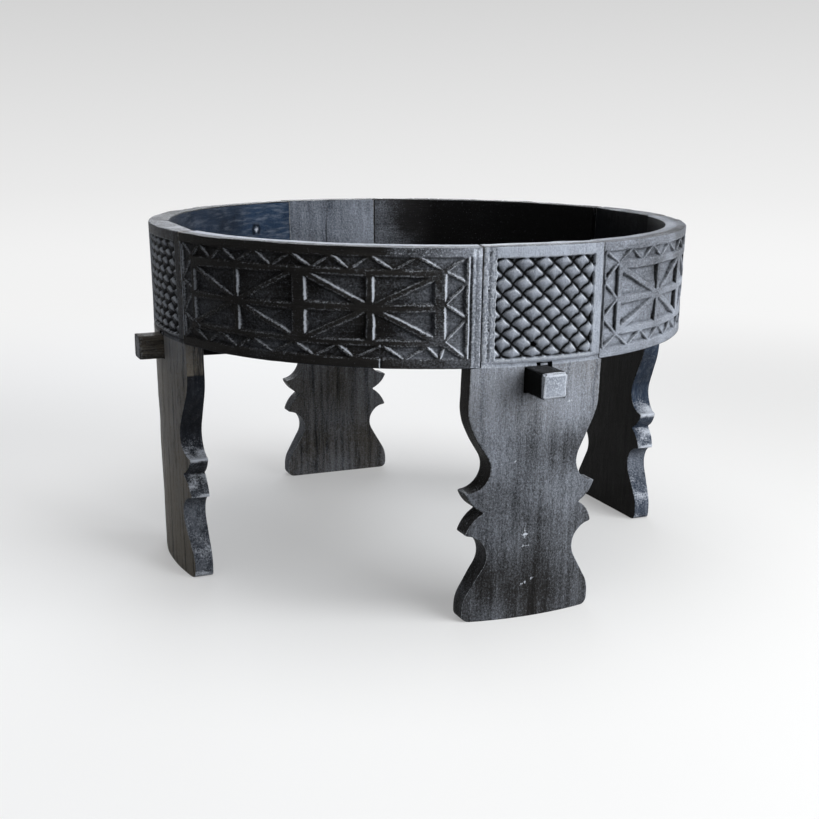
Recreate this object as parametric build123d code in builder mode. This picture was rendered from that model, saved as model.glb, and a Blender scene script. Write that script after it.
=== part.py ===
"""Round carved drum table on four plank legs.

The ring is built like a coopered tub: four curved panels run between the heads of four legs, and
their stub tenons sit in mortises in the heads.  Two square bars, halved over each other under the
middle, pass through the legs just below the ring and are wedged there.  The basin floor is boards
laid on the bars and nailed to the long one.

Millimetres, +Z up.  The origin is on the floor under the middle of the table.  One leg stands on
each of the axes -Y (front), +X (right), +Y (back) and -X (left).
"""
from build123d import *
import math
import os

os.makedirs("parts", exist_ok=True)

# ---------------------------------------------------------------- driving dimensions
table_height = 436.0
ring_radius = 350.0         # outside of the ring
ring_depth = 135.0          # height of the carved ring
ring_wall = 27.0            # thickness of the curved panels
rim_wear = 2.0              # worn edge round the top of the rim

joint_gap = 0.3             # seam between a panel and a leg head
fit_gap = 0.3               # clearance of a piece on its seat

head_left_angle = 11.3      # degrees from a leg's middle to its seam, clockwise side
head_right_angle = 13.9     # the same on the other side, where the leg's edge is flush

leg_half_width = 84.0       # half the width of a leg plank, at the ring
leg_thickness = 34.0        # at the middle of the plank
leg_toe_in = 6.0            # how much nearer the middle of the table a leg stands on the floor
leg_lean = 4.0              # sideways lean of a leg, from the floor up to the ring
foot_half_width = 83.0

neck_slope = 27.0           # degrees from upright where the leg narrows under the ring
neck_round = 61.0           # radius at the top of that slope
upper_waist_radius = 28.0   # hollow that ends in the upper tip
upper_tip_share = 0.5183    # height of the tip, as a share of the height of the ring's bottom
waist_half_width = 56.0
notch_share = 0.4402
notch_half_width = 61.0
tip_bulge = 3.6             # how far the edges beside the notch swell out from straight
lower_tip_share = 0.3505
lower_waist_radius = 26.5   # hollow under the lower tip
calf_slope = 31.0           # degrees from upright where the leg widens to the foot
calf_round = 40.0           # radius at the bottom of that slope

bar_width = 32.0
bar_height = 30.0
bar_chamfer = 2.0
long_bar_reach = 391.0      # from the middle to either end, front to back
short_bar_reach = 380.0     # the same, left to right

wedge_width = 17.0
wedge_thick_end = 3.0
wedge_thin_end = 1.5
wedge_set_back = 1.0        # thick end behind the outside of the leg

tenon_length = 16.0
tenon_thickness = 10.0
tenon_margin = 24.0         # plain wood above and below a tenon

board_thickness = 18.0
board_count = 5
board_gap = 0.6
board_edge_gap = 1.0        # between the floor and the inside of the ring

nail_length = 40.0
nail_width = 3.0            # forged square
nail_head_width = 9.0
nail_head_height = 1.6
nail_head_taper = 35.0
nail_from_middle = 30.0     # from the middle line of a board to each of its two nails
nail_hole_gap = 0.15

# carving of the panels, measured on the outside of the ring
carving_top_margin = 11.0   # plain band under the rim
carving_bottom_margin = 10.5
carving_left_margin = 5.0   # from the seam to the zigzag border, clockwise end
carving_right_margin = 16.5
border_height = 15.5        # zigzag border above and below the stars
border_width = 21.0         # the same border at the ends of the panel
row_teeth = 7               # whole teeth of the border above and below the stars
column_teeth = 2            # whole teeth of the border beside them
ridge_width = 1.6           # sharp ridge left standing between the border's chips
border_depth = 4.0
star_count = 2
star_margin = 6.0           # plain frame between the border and the stars
star_gap = 14.0             # plain bar between two stars
rib_width = 6.0             # ribs of a star
star_depth = 5.0
tip_depth = 0.5             # depth of a chip at its shallow corner
chip_wall_lean = 25.0       # degrees by which a chip's walls lean outwards
chip_clear = 1.0            # how far a cutter stands out of the wood, and past its floor
end_groove_width = 4.0      # upright V cut at each end of the carving
end_groove_depth = 2.6

# lattice on the leg heads, measured the same way
lattice_top_margin = 13.5
lattice_bottom_margin = 9.7
lattice_left_margin = 16.0
lattice_right_margin = 13.4
lattice_depth = 3.5
lattice_columns = 5
lattice_rows = 5
diamond_low = 0.4           # how far the points of the diamonds stay below the plain wood

# ---------------------------------------------------------------- derived sizes
ring_inner_radius = ring_radius - ring_wall
ring_bottom = table_height - ring_depth
shoulder_height = ring_bottom - fit_gap
bar_top = ring_bottom - fit_gap
bar_bottom = bar_top - bar_height
bar_middle = bar_top - bar_height / 2
mortise_top = bar_top + wedge_thick_end + fit_gap
leg_face_at_bars = ring_radius - leg_thickness
upper_tip_height = upper_tip_share * ring_bottom
notch_height = notch_share * ring_bottom
lower_tip_height = lower_tip_share * ring_bottom
tenon_radius = ring_inner_radius + ring_wall / 2
tenon_angle = math.degrees(tenon_length / tenon_radius)
seam_angle = math.degrees(joint_gap / tenon_radius)
panel_start = head_right_angle + seam_angle
panel_end = 90 - head_left_angle - seam_angle
floor_bottom = ring_bottom
floor_top = floor_bottom + board_thickness
floor_radius = ring_inner_radius - board_edge_gap
floor_half_square = leg_face_at_bars - board_edge_gap
board_pitch = 2 * floor_half_square / board_count
board_middles = [(i - (board_count - 1) / 2) * board_pitch for i in range(board_count)]
nail_spots = [y + s * nail_from_middle for y in board_middles for s in (-1, 1)]
nail_hole_width = nail_width + 2 * nail_hole_gap
nail_bottom = floor_top - nail_length
wedge_outer = ring_radius - wedge_set_back
wedge_inner = leg_face_at_bars
millimetre_angle = math.degrees(1 / ring_radius)    # one millimetre along the ring's outside

carving_top = table_height - carving_top_margin
carving_bottom = ring_bottom + carving_bottom_margin
carving_start = panel_start + carving_left_margin * millimetre_angle
carving_end = panel_end - carving_right_margin * millimetre_angle
inside_top = carving_top - border_height
inside_bottom = carving_bottom + border_height
inside_start = carving_start + border_width * millimetre_angle
inside_end = carving_end - border_width * millimetre_angle

lattice_top = table_height - lattice_top_margin
lattice_bottom = ring_bottom + lattice_bottom_margin
lattice_start = -head_left_angle + lattice_left_margin * millimetre_angle
lattice_end = head_right_angle - lattice_right_margin * millimetre_angle

legs = {"right": 0, "back": 90, "left": 180, "front": 270}
panels = {"back_right": 0, "back_left": 90, "front_left": 180, "front_right": 270}


def round_the_middle(radius, degrees):
    """Point on a circle round the table's middle."""
    return (radius * math.cos(math.radians(degrees)), radius * math.sin(math.radians(degrees)))


def ring_sector(inner, outer, start, end):
    """Face between two radii and two angles, on the plane of the sketch that calls it."""
    with BuildSketch(mode=Mode.PRIVATE) as sector:
        with BuildLine():
            CenterArc((0, 0), outer, start, end - start)
            CenterArc((0, 0), inner, start, end - start)
            Line(round_the_middle(inner, start), round_the_middle(outer, start))
            Line(round_the_middle(inner, end), round_the_middle(outer, end))
        make_face()
    return sector.sketch


def on_the_ring(radius, degrees, height):
    """Point at a radius, an angle and a height."""
    return Vector(*round_the_middle(radius, degrees), height)


def touching_plane(degrees, height):
    """Plane that touches the outside of the ring: x along the ring, y up, z outwards."""
    outwards = Vector(*round_the_middle(1, degrees), 0)
    return Plane(
        origin=on_the_ring(ring_radius, degrees, height),
        x_dir=outwards.rotate(Axis.Z, 90),
        z_dir=outwards,
    )


def leg_edge(side):
    """Shaped edge of a leg from its shoulder down to the floor; side is -1 or 1."""

    def at(half_width, height):
        return (side * half_width + leg_lean * height / ring_bottom, height)

    def hollow(radius, tip_height, slope):
        """Round hollow beside a tip: its ends, a middle point, and where its slope is full width."""
        centre = (waist_half_width + radius, tip_height + radius)
        turn = math.radians(slope)
        end = (centre[0] - radius * math.cos(turn), centre[1] + radius * math.sin(turn))
        middle_turn = math.radians((slope - 90) / 2)
        middle = (
            centre[0] - radius * math.cos(middle_turn),
            centre[1] + radius * math.sin(middle_turn),
        )
        return (centre[0], tip_height), middle, end

    def swell(high, low):
        """Middle of an edge beside the notch, pushed out square to the straight line."""
        length = math.dist(high, low)
        push = side * tip_bulge / length
        rise = high[1] - low[1]
        run = high[0] - low[0]
        return ((high[0] + low[0]) / 2 + push * rise, (high[1] + low[1]) / 2 - push * run)

    upper_tip, upper_middle, upper_end = hollow(upper_waist_radius, upper_tip_height, neck_slope)
    # the lower hollow is the same shape upside down
    lower_tip, lower_middle, lower_end = hollow(lower_waist_radius, -lower_tip_height, calf_slope)
    neck_run = leg_half_width - upper_end[0]
    calf_run = foot_half_width - lower_end[0]
    neck_corner = upper_end[1] + neck_run / math.tan(math.radians(neck_slope))
    foot_corner = -lower_end[1] - calf_run / math.tan(math.radians(calf_slope))

    shoulder = at(leg_half_width, shoulder_height)
    floor = at(foot_half_width, 0)
    notch = at(notch_half_width, notch_height)
    high_tip = at(*upper_tip)
    low_tip = at(lower_tip[0], lower_tip_height)

    FilletPolyline(shoulder, at(leg_half_width, neck_corner), at(*upper_end), radius=neck_round)
    ThreePointArc(at(*upper_end), at(*upper_middle), high_tip)
    ThreePointArc(high_tip, swell(high_tip, notch), notch)
    ThreePointArc(notch, swell(notch, low_tip), low_tip)
    ThreePointArc(low_tip, at(lower_middle[0], -lower_middle[1]), at(lower_end[0], -lower_end[1]))
    FilletPolyline(
        at(lower_end[0], -lower_end[1]), at(foot_half_width, foot_corner), floor, radius=calf_round
    )
    return shoulder, floor


def inset(corners, distance):
    """A triangle's corners, moved in so that each side moves by the same distance."""
    sides = [math.dist(corners[i - 2], corners[i - 1]) for i in range(3)]
    half = sum(sides) / 2
    centre = [
        sum(side * corner[axis] for side, corner in zip(sides, corners)) / (2 * half)
        for axis in (0, 1)
    ]
    inner_radius = math.sqrt(math.prod(half - side for side in sides) / half)
    kept = 1 - distance / inner_radius
    return [
        tuple(centre[axis] + kept * (corner[axis] - centre[axis]) for axis in (0, 1))
        for corner in corners
    ]


def leaning_planes(face, corners, lean):
    """Planes through the sides of a polygon on a face, leaning in over it by an angle.

    The corners run anticlockwise.  A negative lean makes a form that is wider under the face.
    """
    turn = math.radians(lean)
    planes = []
    for (x1, y1), (x2, y2) in zip(corners, corners[1:] + corners[:1]):
        length = math.dist((x1, y1), (x2, y2))
        inwards = face.x_dir * ((y1 - y2) / length) + face.y_dir * ((x2 - x1) / length)
        planes.append(
            Plane(
                origin=face.from_local_coords((x1, y1, 0)),
                z_dir=inwards * math.cos(turn) + face.z_dir * math.sin(turn),
            )
        )
    return planes


def chip(corners, land, depth):
    """Cutter for a triangular chip; corners are (degrees, height), its shallow corner first.

    The floor slopes from the first corner down to the side between the other two.
    """
    middle = [sum(corner[axis] for corner in corners) / 3 for axis in (0, 1)]
    flat = [
        ((degrees - middle[0]) / millimetre_angle, height - middle[1]) for degrees, height in corners
    ]
    outline = inset(flat, land / 2)
    (x1, y1), (x2, y2), (x3, y3) = outline
    if (x2 - x1) * (y3 - y1) < (x3 - x1) * (y2 - y1):
        outline.reverse()
    face = touching_plane(*middle).offset(chip_clear)
    floor_points = [
        on_the_ring(ring_radius - sunk, degrees, height)
        for sunk, (degrees, height) in zip((tip_depth, depth, depth), corners)
    ]
    upwards = (floor_points[1] - floor_points[0]).cross(floor_points[2] - floor_points[0])
    if upwards.dot(face.z_dir) < 0:
        upwards = -upwards
    with BuildPart() as cutter:
        with BuildSketch(face):
            Polygon(*outline, align=None)
        extrude(amount=-(2 * depth + chip_clear))
        for wall in leaning_planes(face, outline, chip_wall_lean):
            split(bisect_by=wall, keep=Keep.TOP)
        split(bisect_by=Plane(origin=floor_points[0], z_dir=upwards), keep=Keep.TOP)
    return cutter.part


def zigzag(outer, inner):
    """Triangles on both sides of a zigzag between two rows of points, outer one point longer."""
    pointing_in = [(tip, a, b) for tip, a, b in zip(inner, outer, outer[1:])]
    pointing_out = [(tip, a, b) for tip, a, b in zip(outer[1:], inner, inner[1:])]
    return pointing_in + pointing_out


def border_row(outer_height, inner_height):
    """Triangles of the border above or below the stars."""
    pitch = (inside_end - inside_start) / row_teeth
    inner = [(inside_start + k * pitch, inner_height) for k in range(row_teeth + 1)]
    between = [(inside_start + (k + 0.5) * pitch, outer_height) for k in range(row_teeth)]
    corners = (carving_start, outer_height), (carving_end, outer_height)
    return zigzag([corners[0], *between, corners[1]], inner)


def border_column(outer_degrees, inner_degrees):
    """Triangles of the border at one end of the stars."""
    pitch = (inside_bottom - inside_top) / column_teeth
    inner = [(inner_degrees, inside_top + k * pitch) for k in range(column_teeth + 1)]
    between = [(outer_degrees, inside_top + (k + 0.5) * pitch) for k in range(column_teeth)]
    corners = (outer_degrees, carving_top), (outer_degrees, carving_bottom)
    return zigzag([corners[0], *between, corners[1]], inner)


def star(start, end):
    """The eight triangles round the middle of one star, each with its shallow corner there."""
    top = inside_top - star_margin
    bottom = inside_bottom + star_margin
    middle = ((start + end) / 2, (top + bottom) / 2)
    rim = [
        (start, top), (middle[0], top), (end, top), (end, middle[1]),
        (end, bottom), (middle[0], bottom), (start, bottom), (start, middle[1]),
    ]
    return [(middle, rim[k - 1], rim[k]) for k in range(len(rim))]


# ---------------------------------------------------------------- one leg, on the +X axis
column_pitch = (lattice_end - lattice_start) / lattice_columns
row_pitch = (lattice_top - lattice_bottom) / lattice_rows
half_wide = column_pitch / millimetre_angle / 2
half_high = row_pitch / 2
half_across = half_wide * half_high / math.hypot(half_wide, half_high)
diamond_lean = math.degrees(math.atan2(half_across, lattice_depth - diamond_low))

with BuildPart() as diamond:
    groove_bottom = Plane.XY.offset(-lattice_depth)
    corners = [(-half_wide, 0), (0, -half_high), (half_wide, 0), (0, half_high)]
    with BuildSketch(groove_bottom.offset(-chip_clear)):
        Rectangle(4 * half_wide, 4 * half_high)
    extrude(amount=lattice_depth + chip_clear)
    for side in leaning_planes(groove_bottom, corners, -diamond_lean):
        split(bisect_by=side, keep=Keep.TOP)

diamond_places = [
    touching_plane(lattice_start + column * column_pitch / 2, lattice_bottom + row * row_pitch / 2)
    for column in range(2 * lattice_columns + 1)
    for row in range(column % 2, 2 * lattice_rows + 1, 2)
]

with BuildPart() as lattice:
    with Locations(*diamond_places):
        add(diamond.part)
    # the diamonds at the edges are cut off by the frame
    with BuildSketch(Plane.XY.offset(lattice_bottom)):
        add(ring_sector(ring_radius / 2, ring_radius, lattice_start, lattice_end))
    extrude(amount=lattice_top - lattice_bottom, mode=Mode.INTERSECT)

with BuildPart() as leg_pattern:
    # the shaped plank below the ring, seen from outside
    with BuildSketch(Plane.YZ):
        with BuildLine():
            left_shoulder, left_floor = leg_edge(-1)
            right_shoulder, right_floor = leg_edge(1)
            Line(left_shoulder, right_shoulder)
            Line(left_floor, right_floor)
        make_face()
    extrude(amount=2 * ring_radius)
    # outside as round as the ring, leaning in towards the floor
    with BuildSketch(Plane(origin=(0, 0, ring_bottom), z_dir=(leg_toe_in, 0, ring_bottom))):
        Circle(ring_radius)
    extrude(amount=2 * ring_bottom, both=True, mode=Mode.INTERSECT)
    # the head, a stave of the ring between its two seams
    with BuildSketch(Plane.XY.offset(shoulder_height)):
        add(ring_sector(ring_radius / 2, ring_radius, -head_left_angle, head_right_angle))
    extrude(amount=table_height - shoulder_height)
    # worn rim
    rim_edges = leg_pattern.edges().filter_by(GeomType.CIRCLE).group_by(Axis.Z)[-1]
    chamfer(rim_edges.sort_by(SortBy.RADIUS)[-1], length=rim_wear)
    # flat back of the plank
    with BuildSketch(Plane.XZ):
        with BuildLine():
            back_slope = leg_toe_in / ring_bottom
            Polyline(
                (leg_face_at_bars - leg_toe_in, 0),
                (leg_face_at_bars + back_slope * ring_depth, table_height),
                (2 * ring_radius, table_height),
                (2 * ring_radius, 0),
                close=True,
            )
        make_face()
    extrude(amount=ring_radius, both=True, mode=Mode.INTERSECT)
    # sunk field of the lattice, with its diamonds left standing
    with BuildSketch(Plane.XY.offset(lattice_bottom)):
        sunk_radius = ring_radius - lattice_depth - chip_clear / 2
        add(ring_sector(sunk_radius, 2 * ring_radius, lattice_start, lattice_end))
    extrude(amount=lattice_top - lattice_bottom, mode=Mode.SUBTRACT)
    add(lattice.part)
    # through mortise for the bar and its wedge
    with BuildSketch(Plane.YZ):
        with Locations((0, (bar_bottom - fit_gap + mortise_top) / 2)):
            Rectangle(bar_width + 2 * fit_gap, mortise_top - bar_bottom + fit_gap)
    extrude(amount=2 * ring_radius, mode=Mode.SUBTRACT)
    # blind mortises for the tenons of the two panels beside the leg
    for start, end in (
        (-head_left_angle - seam_angle, -head_left_angle + tenon_angle + seam_angle),
        (head_right_angle - tenon_angle - seam_angle, head_right_angle + seam_angle),
    ):
        with BuildSketch(Plane.XY.offset(ring_bottom + tenon_margin - fit_gap)):
            half_slot = tenon_thickness / 2 + fit_gap
            add(ring_sector(tenon_radius - half_slot, tenon_radius + half_slot, start, end))
        extrude(amount=ring_depth - 2 * tenon_margin + 2 * fit_gap, mode=Mode.SUBTRACT)

for place, turn in legs.items():
    with BuildPart() as leg:
        add(leg_pattern.part, rotation=(0, 0, turn))
    leg.part.label = f"{place}_leg"
    export_step(leg.part, f"parts/{leg.part.label}.step")

# ---------------------------------------------------------------- one panel, from 0 to 90 degrees
border = (
    border_row(carving_top, inside_top)
    + border_row(carving_bottom, inside_bottom)
    + border_column(carving_start, inside_start)
    + border_column(carving_end, inside_end)
)
chips = [chip(corners, ridge_width, border_depth) for corners in border]

star_margin_angle = star_margin * millimetre_angle
star_gap_angle = star_gap * millimetre_angle
stars_angle = inside_end - inside_start - 2 * star_margin_angle + star_gap_angle
star_pitch = stars_angle / star_count
for number in range(star_count):
    star_start = inside_start + star_margin_angle + number * star_pitch
    for corners in star(star_start, star_start + star_pitch - star_gap_angle):
        chips.append(chip(corners, rib_width, star_depth))

with BuildPart() as panel_pattern:
    # cross-section of the ring's wall, worn at the rim, turned from seam to seam
    with BuildSketch(Plane.XZ):
        with BuildLine():
            Polyline(
                (ring_inner_radius, ring_bottom),
                (ring_radius, ring_bottom),
                (ring_radius, table_height - rim_wear),
                (ring_radius - rim_wear, table_height),
                (ring_inner_radius, table_height),
                close=True,
            )
        make_face()
    revolve(axis=Axis.Z, revolution_arc=90)
    with BuildSketch(Plane.XY.offset(ring_bottom)):
        add(ring_sector(ring_inner_radius / 2, 2 * ring_radius, panel_start, panel_end))
    extrude(amount=ring_depth, mode=Mode.INTERSECT)
    add(chips, mode=Mode.SUBTRACT)
    # upright cut at each end of the carving
    half_groove = end_groove_width * millimetre_angle / 2
    for degrees in (carving_start - half_groove, carving_end + half_groove):
        with BuildSketch(Plane.XY.offset(carving_bottom)):
            Polygon(
                round_the_middle(ring_radius - end_groove_depth, degrees),
                round_the_middle(ring_radius + chip_clear, degrees + half_groove),
                round_the_middle(ring_radius + chip_clear, degrees - half_groove),
                align=None,
            )
        extrude(amount=carving_top - carving_bottom, mode=Mode.SUBTRACT)
    # tenons
    with BuildSketch(Plane.XY.offset(ring_bottom + tenon_margin)):
        half_tenon = tenon_thickness / 2
        add(
            ring_sector(
                tenon_radius - half_tenon,
                tenon_radius + half_tenon,
                panel_start - tenon_angle,
                panel_end + tenon_angle,
            )
        )
    extrude(amount=ring_depth - 2 * tenon_margin)

for place, turn in panels.items():
    with BuildPart() as panel:
        add(panel_pattern.part, rotation=(0, 0, turn))
    panel.part.label = f"{place}_panel"
    export_step(panel.part, f"parts/{panel.part.label}.step")

# ---------------------------------------------------------------- crossed bars
with BuildPart() as long_bar:
    with Locations((0, 0, bar_middle)):
        Box(bar_width, 2 * long_bar_reach, bar_height)
    chamfer(long_bar.faces().sort_by(Axis.Y)[0].edges(), length=bar_chamfer)
    chamfer(long_bar.faces().sort_by(Axis.Y)[-1].edges(), length=bar_chamfer)
    # upper half cut away where the short bar crosses
    with BuildSketch(Plane.XY.offset(bar_middle)):
        Rectangle(bar_width, bar_width + 2 * fit_gap)
    extrude(amount=bar_height, mode=Mode.SUBTRACT)
    with BuildSketch(Plane.XY.offset(nail_bottom)):
        with Locations(*[(0, y) for y in nail_spots]):
            Rectangle(nail_hole_width, nail_hole_width)
    extrude(amount=nail_length, mode=Mode.SUBTRACT)
long_bar.part.label = "long_crossbar"
export_step(long_bar.part, "parts/long_crossbar.step")

with BuildPart() as short_bar:
    with Locations((0, 0, bar_middle)):
        Box(2 * short_bar_reach, bar_width, bar_height)
    chamfer(short_bar.faces().sort_by(Axis.X)[0].edges(), length=bar_chamfer)
    chamfer(short_bar.faces().sort_by(Axis.X)[-1].edges(), length=bar_chamfer)
    # lower half cut away where the long bar crosses
    with BuildSketch(Plane.XY.offset(bar_middle)):
        Rectangle(bar_width + 2 * fit_gap, bar_width)
    extrude(amount=-bar_height, mode=Mode.SUBTRACT)
short_bar.part.label = "short_crossbar"
export_step(short_bar.part, "parts/short_crossbar.step")

# ---------------------------------------------------------------- wedges over the bars
with BuildPart() as wedge_pattern:
    with BuildSketch(Plane.XZ):
        with BuildLine():
            Polyline(
                (wedge_outer, bar_top),
                (wedge_outer, bar_top + wedge_thick_end),
                (wedge_inner, bar_top + wedge_thin_end),
                (wedge_inner, bar_top),
                close=True,
            )
        make_face()
    extrude(amount=wedge_width / 2, both=True)

for place, turn in legs.items():
    with BuildPart() as wedge:
        add(wedge_pattern.part, rotation=(0, 0, turn))
    wedge.part.label = f"{place}_bar_wedge"
    export_step(wedge.part, f"parts/{wedge.part.label}.step")

# ---------------------------------------------------------------- floor of the basin
for number, middle in enumerate(board_middles, start=1):
    with BuildPart() as board:
        with BuildSketch(Plane.XY.offset(floor_bottom)):
            Circle(floor_radius)
            Rectangle(2 * floor_half_square, 2 * floor_half_square, mode=Mode.INTERSECT)
            with Locations((0, middle)):
                Rectangle(2 * ring_radius, board_pitch - board_gap, mode=Mode.INTERSECT)
            with Locations(*[(0, y) for y in nail_spots]):
                Rectangle(nail_hole_width, nail_hole_width, mode=Mode.SUBTRACT)
        extrude(amount=board_thickness)
    board.part.label = f"floor_board_{number}"
    export_step(board.part, f"parts/{board.part.label}.step")

with BuildPart() as nails:
    with BuildSketch(Plane.XY.offset(nail_bottom)):
        with Locations(*[(0, y) for y in nail_spots]):
            Rectangle(nail_width, nail_width)
    extrude(amount=nail_length)
    with BuildSketch(Plane.XY.offset(floor_top)):
        with Locations(*[(0, y) for y in nail_spots]):
            Rectangle(nail_head_width, nail_head_width)
    extrude(amount=nail_head_height, taper=nail_head_taper)
nails.part.label = "floor_nails"
export_step(nails.part, "parts/floor_nails.step")
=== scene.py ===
"""Round carved drum table of ebonised wood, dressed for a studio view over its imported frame.

The table stands on four shaped plank legs.  Four curved panels with chip-carved stars run between
the carved heads of the legs, and two crossed bars under the basin pass through the legs.

Sizes in the classes are millimetres, and meshes are metres.  The origin is on the floor under the
middle; the front leg stands on -Y and the right one on +X.
"""
import sys
import logging
import math
from dataclasses import dataclass
from enum import Enum
from typing import Any

import bpy
import numpy as np
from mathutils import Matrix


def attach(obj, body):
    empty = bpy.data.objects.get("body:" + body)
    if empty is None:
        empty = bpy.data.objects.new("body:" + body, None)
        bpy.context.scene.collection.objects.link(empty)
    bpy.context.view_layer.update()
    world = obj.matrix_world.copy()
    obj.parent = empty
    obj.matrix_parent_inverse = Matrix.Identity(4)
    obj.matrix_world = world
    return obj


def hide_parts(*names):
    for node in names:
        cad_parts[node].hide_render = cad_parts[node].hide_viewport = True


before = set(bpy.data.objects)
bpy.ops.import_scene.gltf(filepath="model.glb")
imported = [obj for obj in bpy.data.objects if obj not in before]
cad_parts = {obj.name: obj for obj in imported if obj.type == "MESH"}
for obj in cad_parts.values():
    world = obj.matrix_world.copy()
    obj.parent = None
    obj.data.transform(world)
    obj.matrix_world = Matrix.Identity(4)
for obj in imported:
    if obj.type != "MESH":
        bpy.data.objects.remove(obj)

LOG = logging.getLogger("drum_table")
METRE = 0.001  # a millimetre in metres
FLUSH = 0.01  # a corner nearer to a face than this lies on it
ALONG_GRAIN = (0.05, 1.0, 0.999)  # draws patterns out twenty times along the grain
LOOKS = ("bloom", "worn", "hollow", "shine", "inside", "brown", "mark")
Colour = tuple[float, float, float]
Point = tuple[float, float]
Place = tuple[float, float, float]


class Side(Enum):
    """Where a leg stands: degrees round the upright axis from +X."""

    RIGHT = 0
    BACK = 90
    LEFT = 180
    FRONT = 270

    @property
    def word(self) -> str:
        """The side as the frame's nodes spell it."""
        return self.name.lower()


def paint(red: int, green: int, blue: int) -> Colour:
    """Linear colour of a paint chip given in screen values from 0 to 255.

    Args:
        red, green, blue: the screen values, on the usual screen curve.

    Returns:
        The colour for a shader: a straight foot up to 0.04, then a power of 2.4.
    """
    return tuple(
        c / 12.92 if c <= 0.04045 else ((c + 0.055) / 1.055) ** 2.4
        for c in (red / 255, green / 255, blue / 255)
    )


# ------------------------------------------------------------------------------------ shaders
class Value:
    """A shader socket; arithmetic on it adds Math nodes."""

    def __init__(self, shader: "Shader", socket: bpy.types.NodeSocket) -> None:
        """Holds the socket and the shader that it belongs to."""
        self.shader = shader
        self.socket = socket

    def math(self, operation: str, *terms: Any) -> "Value":
        """Value of a Math node on the given terms."""
        return self.shader.node("ShaderNodeMath", {"operation": operation}, dict(enumerate(terms)))

    def __add__(self, other: Any) -> "Value":
        """Sum."""
        return self.math("ADD", self, other)

    def __sub__(self, other: Any) -> "Value":
        """Difference."""
        return self.math("SUBTRACT", self, other)

    def __rsub__(self, other: Any) -> "Value":
        """Difference with a plain number on the left."""
        return self.math("SUBTRACT", other, self)

    def __mul__(self, other: Any) -> "Value":
        """Product."""
        return self.math("MULTIPLY", self, other)

    __radd__ = __add__
    __rmul__ = __mul__

    def between(self, low: float, high: float) -> "Value":
        """Smooth step: 0 at low, 1 at high; low may be the larger."""
        settings = {"interpolation_type": "SMOOTHSTEP"}
        return self.shader.node("ShaderNodeMapRange", settings, {0: self, 1: low, 2: high})

    def most(self, other: Any) -> "Value":
        """The larger of two values."""
        return self.math("MAXIMUM", self, other)


class Shader:
    """A new material and the nodes that are added to it."""

    def __init__(self, name: str) -> None:
        """Starts an empty node tree with its output.

        Args:
            name: the material's name.
        """
        self.material = bpy.data.materials.new(name)
        self.material.use_nodes = True
        self.tree = self.material.node_tree
        self.tree.nodes.clear()
        self.output = self.tree.nodes.new("ShaderNodeOutputMaterial")

    def node(
        self, kind: str, settings: dict[str, Any], inputs: dict[Any, Any], output: Any = 0
    ) -> Value:
        """Adds one node.

        Args:
            kind: the node's type.
            settings: its properties, set first; "stops" are a ramp's positions and colours.
            inputs: values or links by socket name or number.
            output: the socket that is wanted.

        Returns:
            The wanted output.
        """
        made = self.tree.nodes.new(kind)
        for key, setting in settings.items():
            if key == "stops":
                elements = made.color_ramp.elements
                for _ in setting[2:]:
                    elements.new(0.5)
                for element, (position, colour) in zip(elements, setting):
                    element.position = position
                    element.color = (*colour, 1)
            else:
                setattr(made, key, setting)
        for key, value in inputs.items():
            socket = made.inputs[key]
            if isinstance(value, Value):
                self.tree.links.new(value.socket, socket)
            elif isinstance(value, tuple) and socket.type == "RGBA":
                socket.default_value = (*value, 1)
            else:
                socket.default_value = value
        return Value(self, made.outputs[output])

    def blend(self, factor: Any, first: Any, second: Any, how: str = "MIX") -> Value:
        """Colour between two, by a factor."""
        settings = {"data_type": "RGBA", "blend_type": how}
        return self.node("ShaderNodeMix", settings, {0: factor, 6: first, 7: second}, 2)

    def noise(self, place: Value, scale: float, detail: float = 2, rough: float = 0.5) -> Value:
        """Fractal noise from 0 to 1."""
        inputs = {"Vector": place, "Scale": scale, "Detail": detail, "Roughness": rough}
        return self.node("ShaderNodeTexNoise", {}, inputs)

    def stretch(self, place: Value, *scale: float) -> Value:
        """Place scaled along each axis."""
        return self.node("ShaderNodeMapping", {}, {"Vector": place, "Scale": scale})

    def object_place(self) -> Value:
        """Place on the object in metres."""
        return self.node("ShaderNodeTexCoord", {}, {}, "Object")

    def attribute(self, name: str, output: str = "Fac") -> Value:
        """An attribute of the mesh."""
        return self.node("ShaderNodeAttribute", {"attribute_name": name}, {}, output)

    def ray(self, kind: str) -> Value:
        """1 for rays of one kind."""
        return self.node("ShaderNodeLightPath", {}, {}, f"Is {kind} Ray")

    def combine(self, operation: str, output: str, *vectors: Any) -> Value:
        """Output of a Vector Math node on the given vectors."""
        inputs = dict(enumerate(vectors))
        return self.node("ShaderNodeVectorMath", {"operation": operation}, inputs, output)

    def mixed(self, factor: Any, first: Value, second: Value) -> Value:
        """Mix Shader between two surfaces."""
        return self.node("ShaderNodeMixShader", {}, {0: factor, 1: first, 2: second})

    def bump(self, height: Value, strength: float, distance: float) -> Value:
        """Normal over a height map, with its distance in metres."""
        inputs = {"Strength": strength, "Distance": distance, "Height": height}
        return self.node("ShaderNodeBump", {}, inputs)

    def principled(self, inputs: dict[str, Any]) -> Value:
        """Principled surface with the given inputs."""
        return self.node("ShaderNodeBsdfPrincipled", {}, inputs)

    def finish(self, surface: Value) -> bpy.types.Material:
        """Joins the surface to the output and returns the material."""
        self.tree.links.new(surface.socket, self.output.inputs["Surface"])
        return self.material


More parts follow.
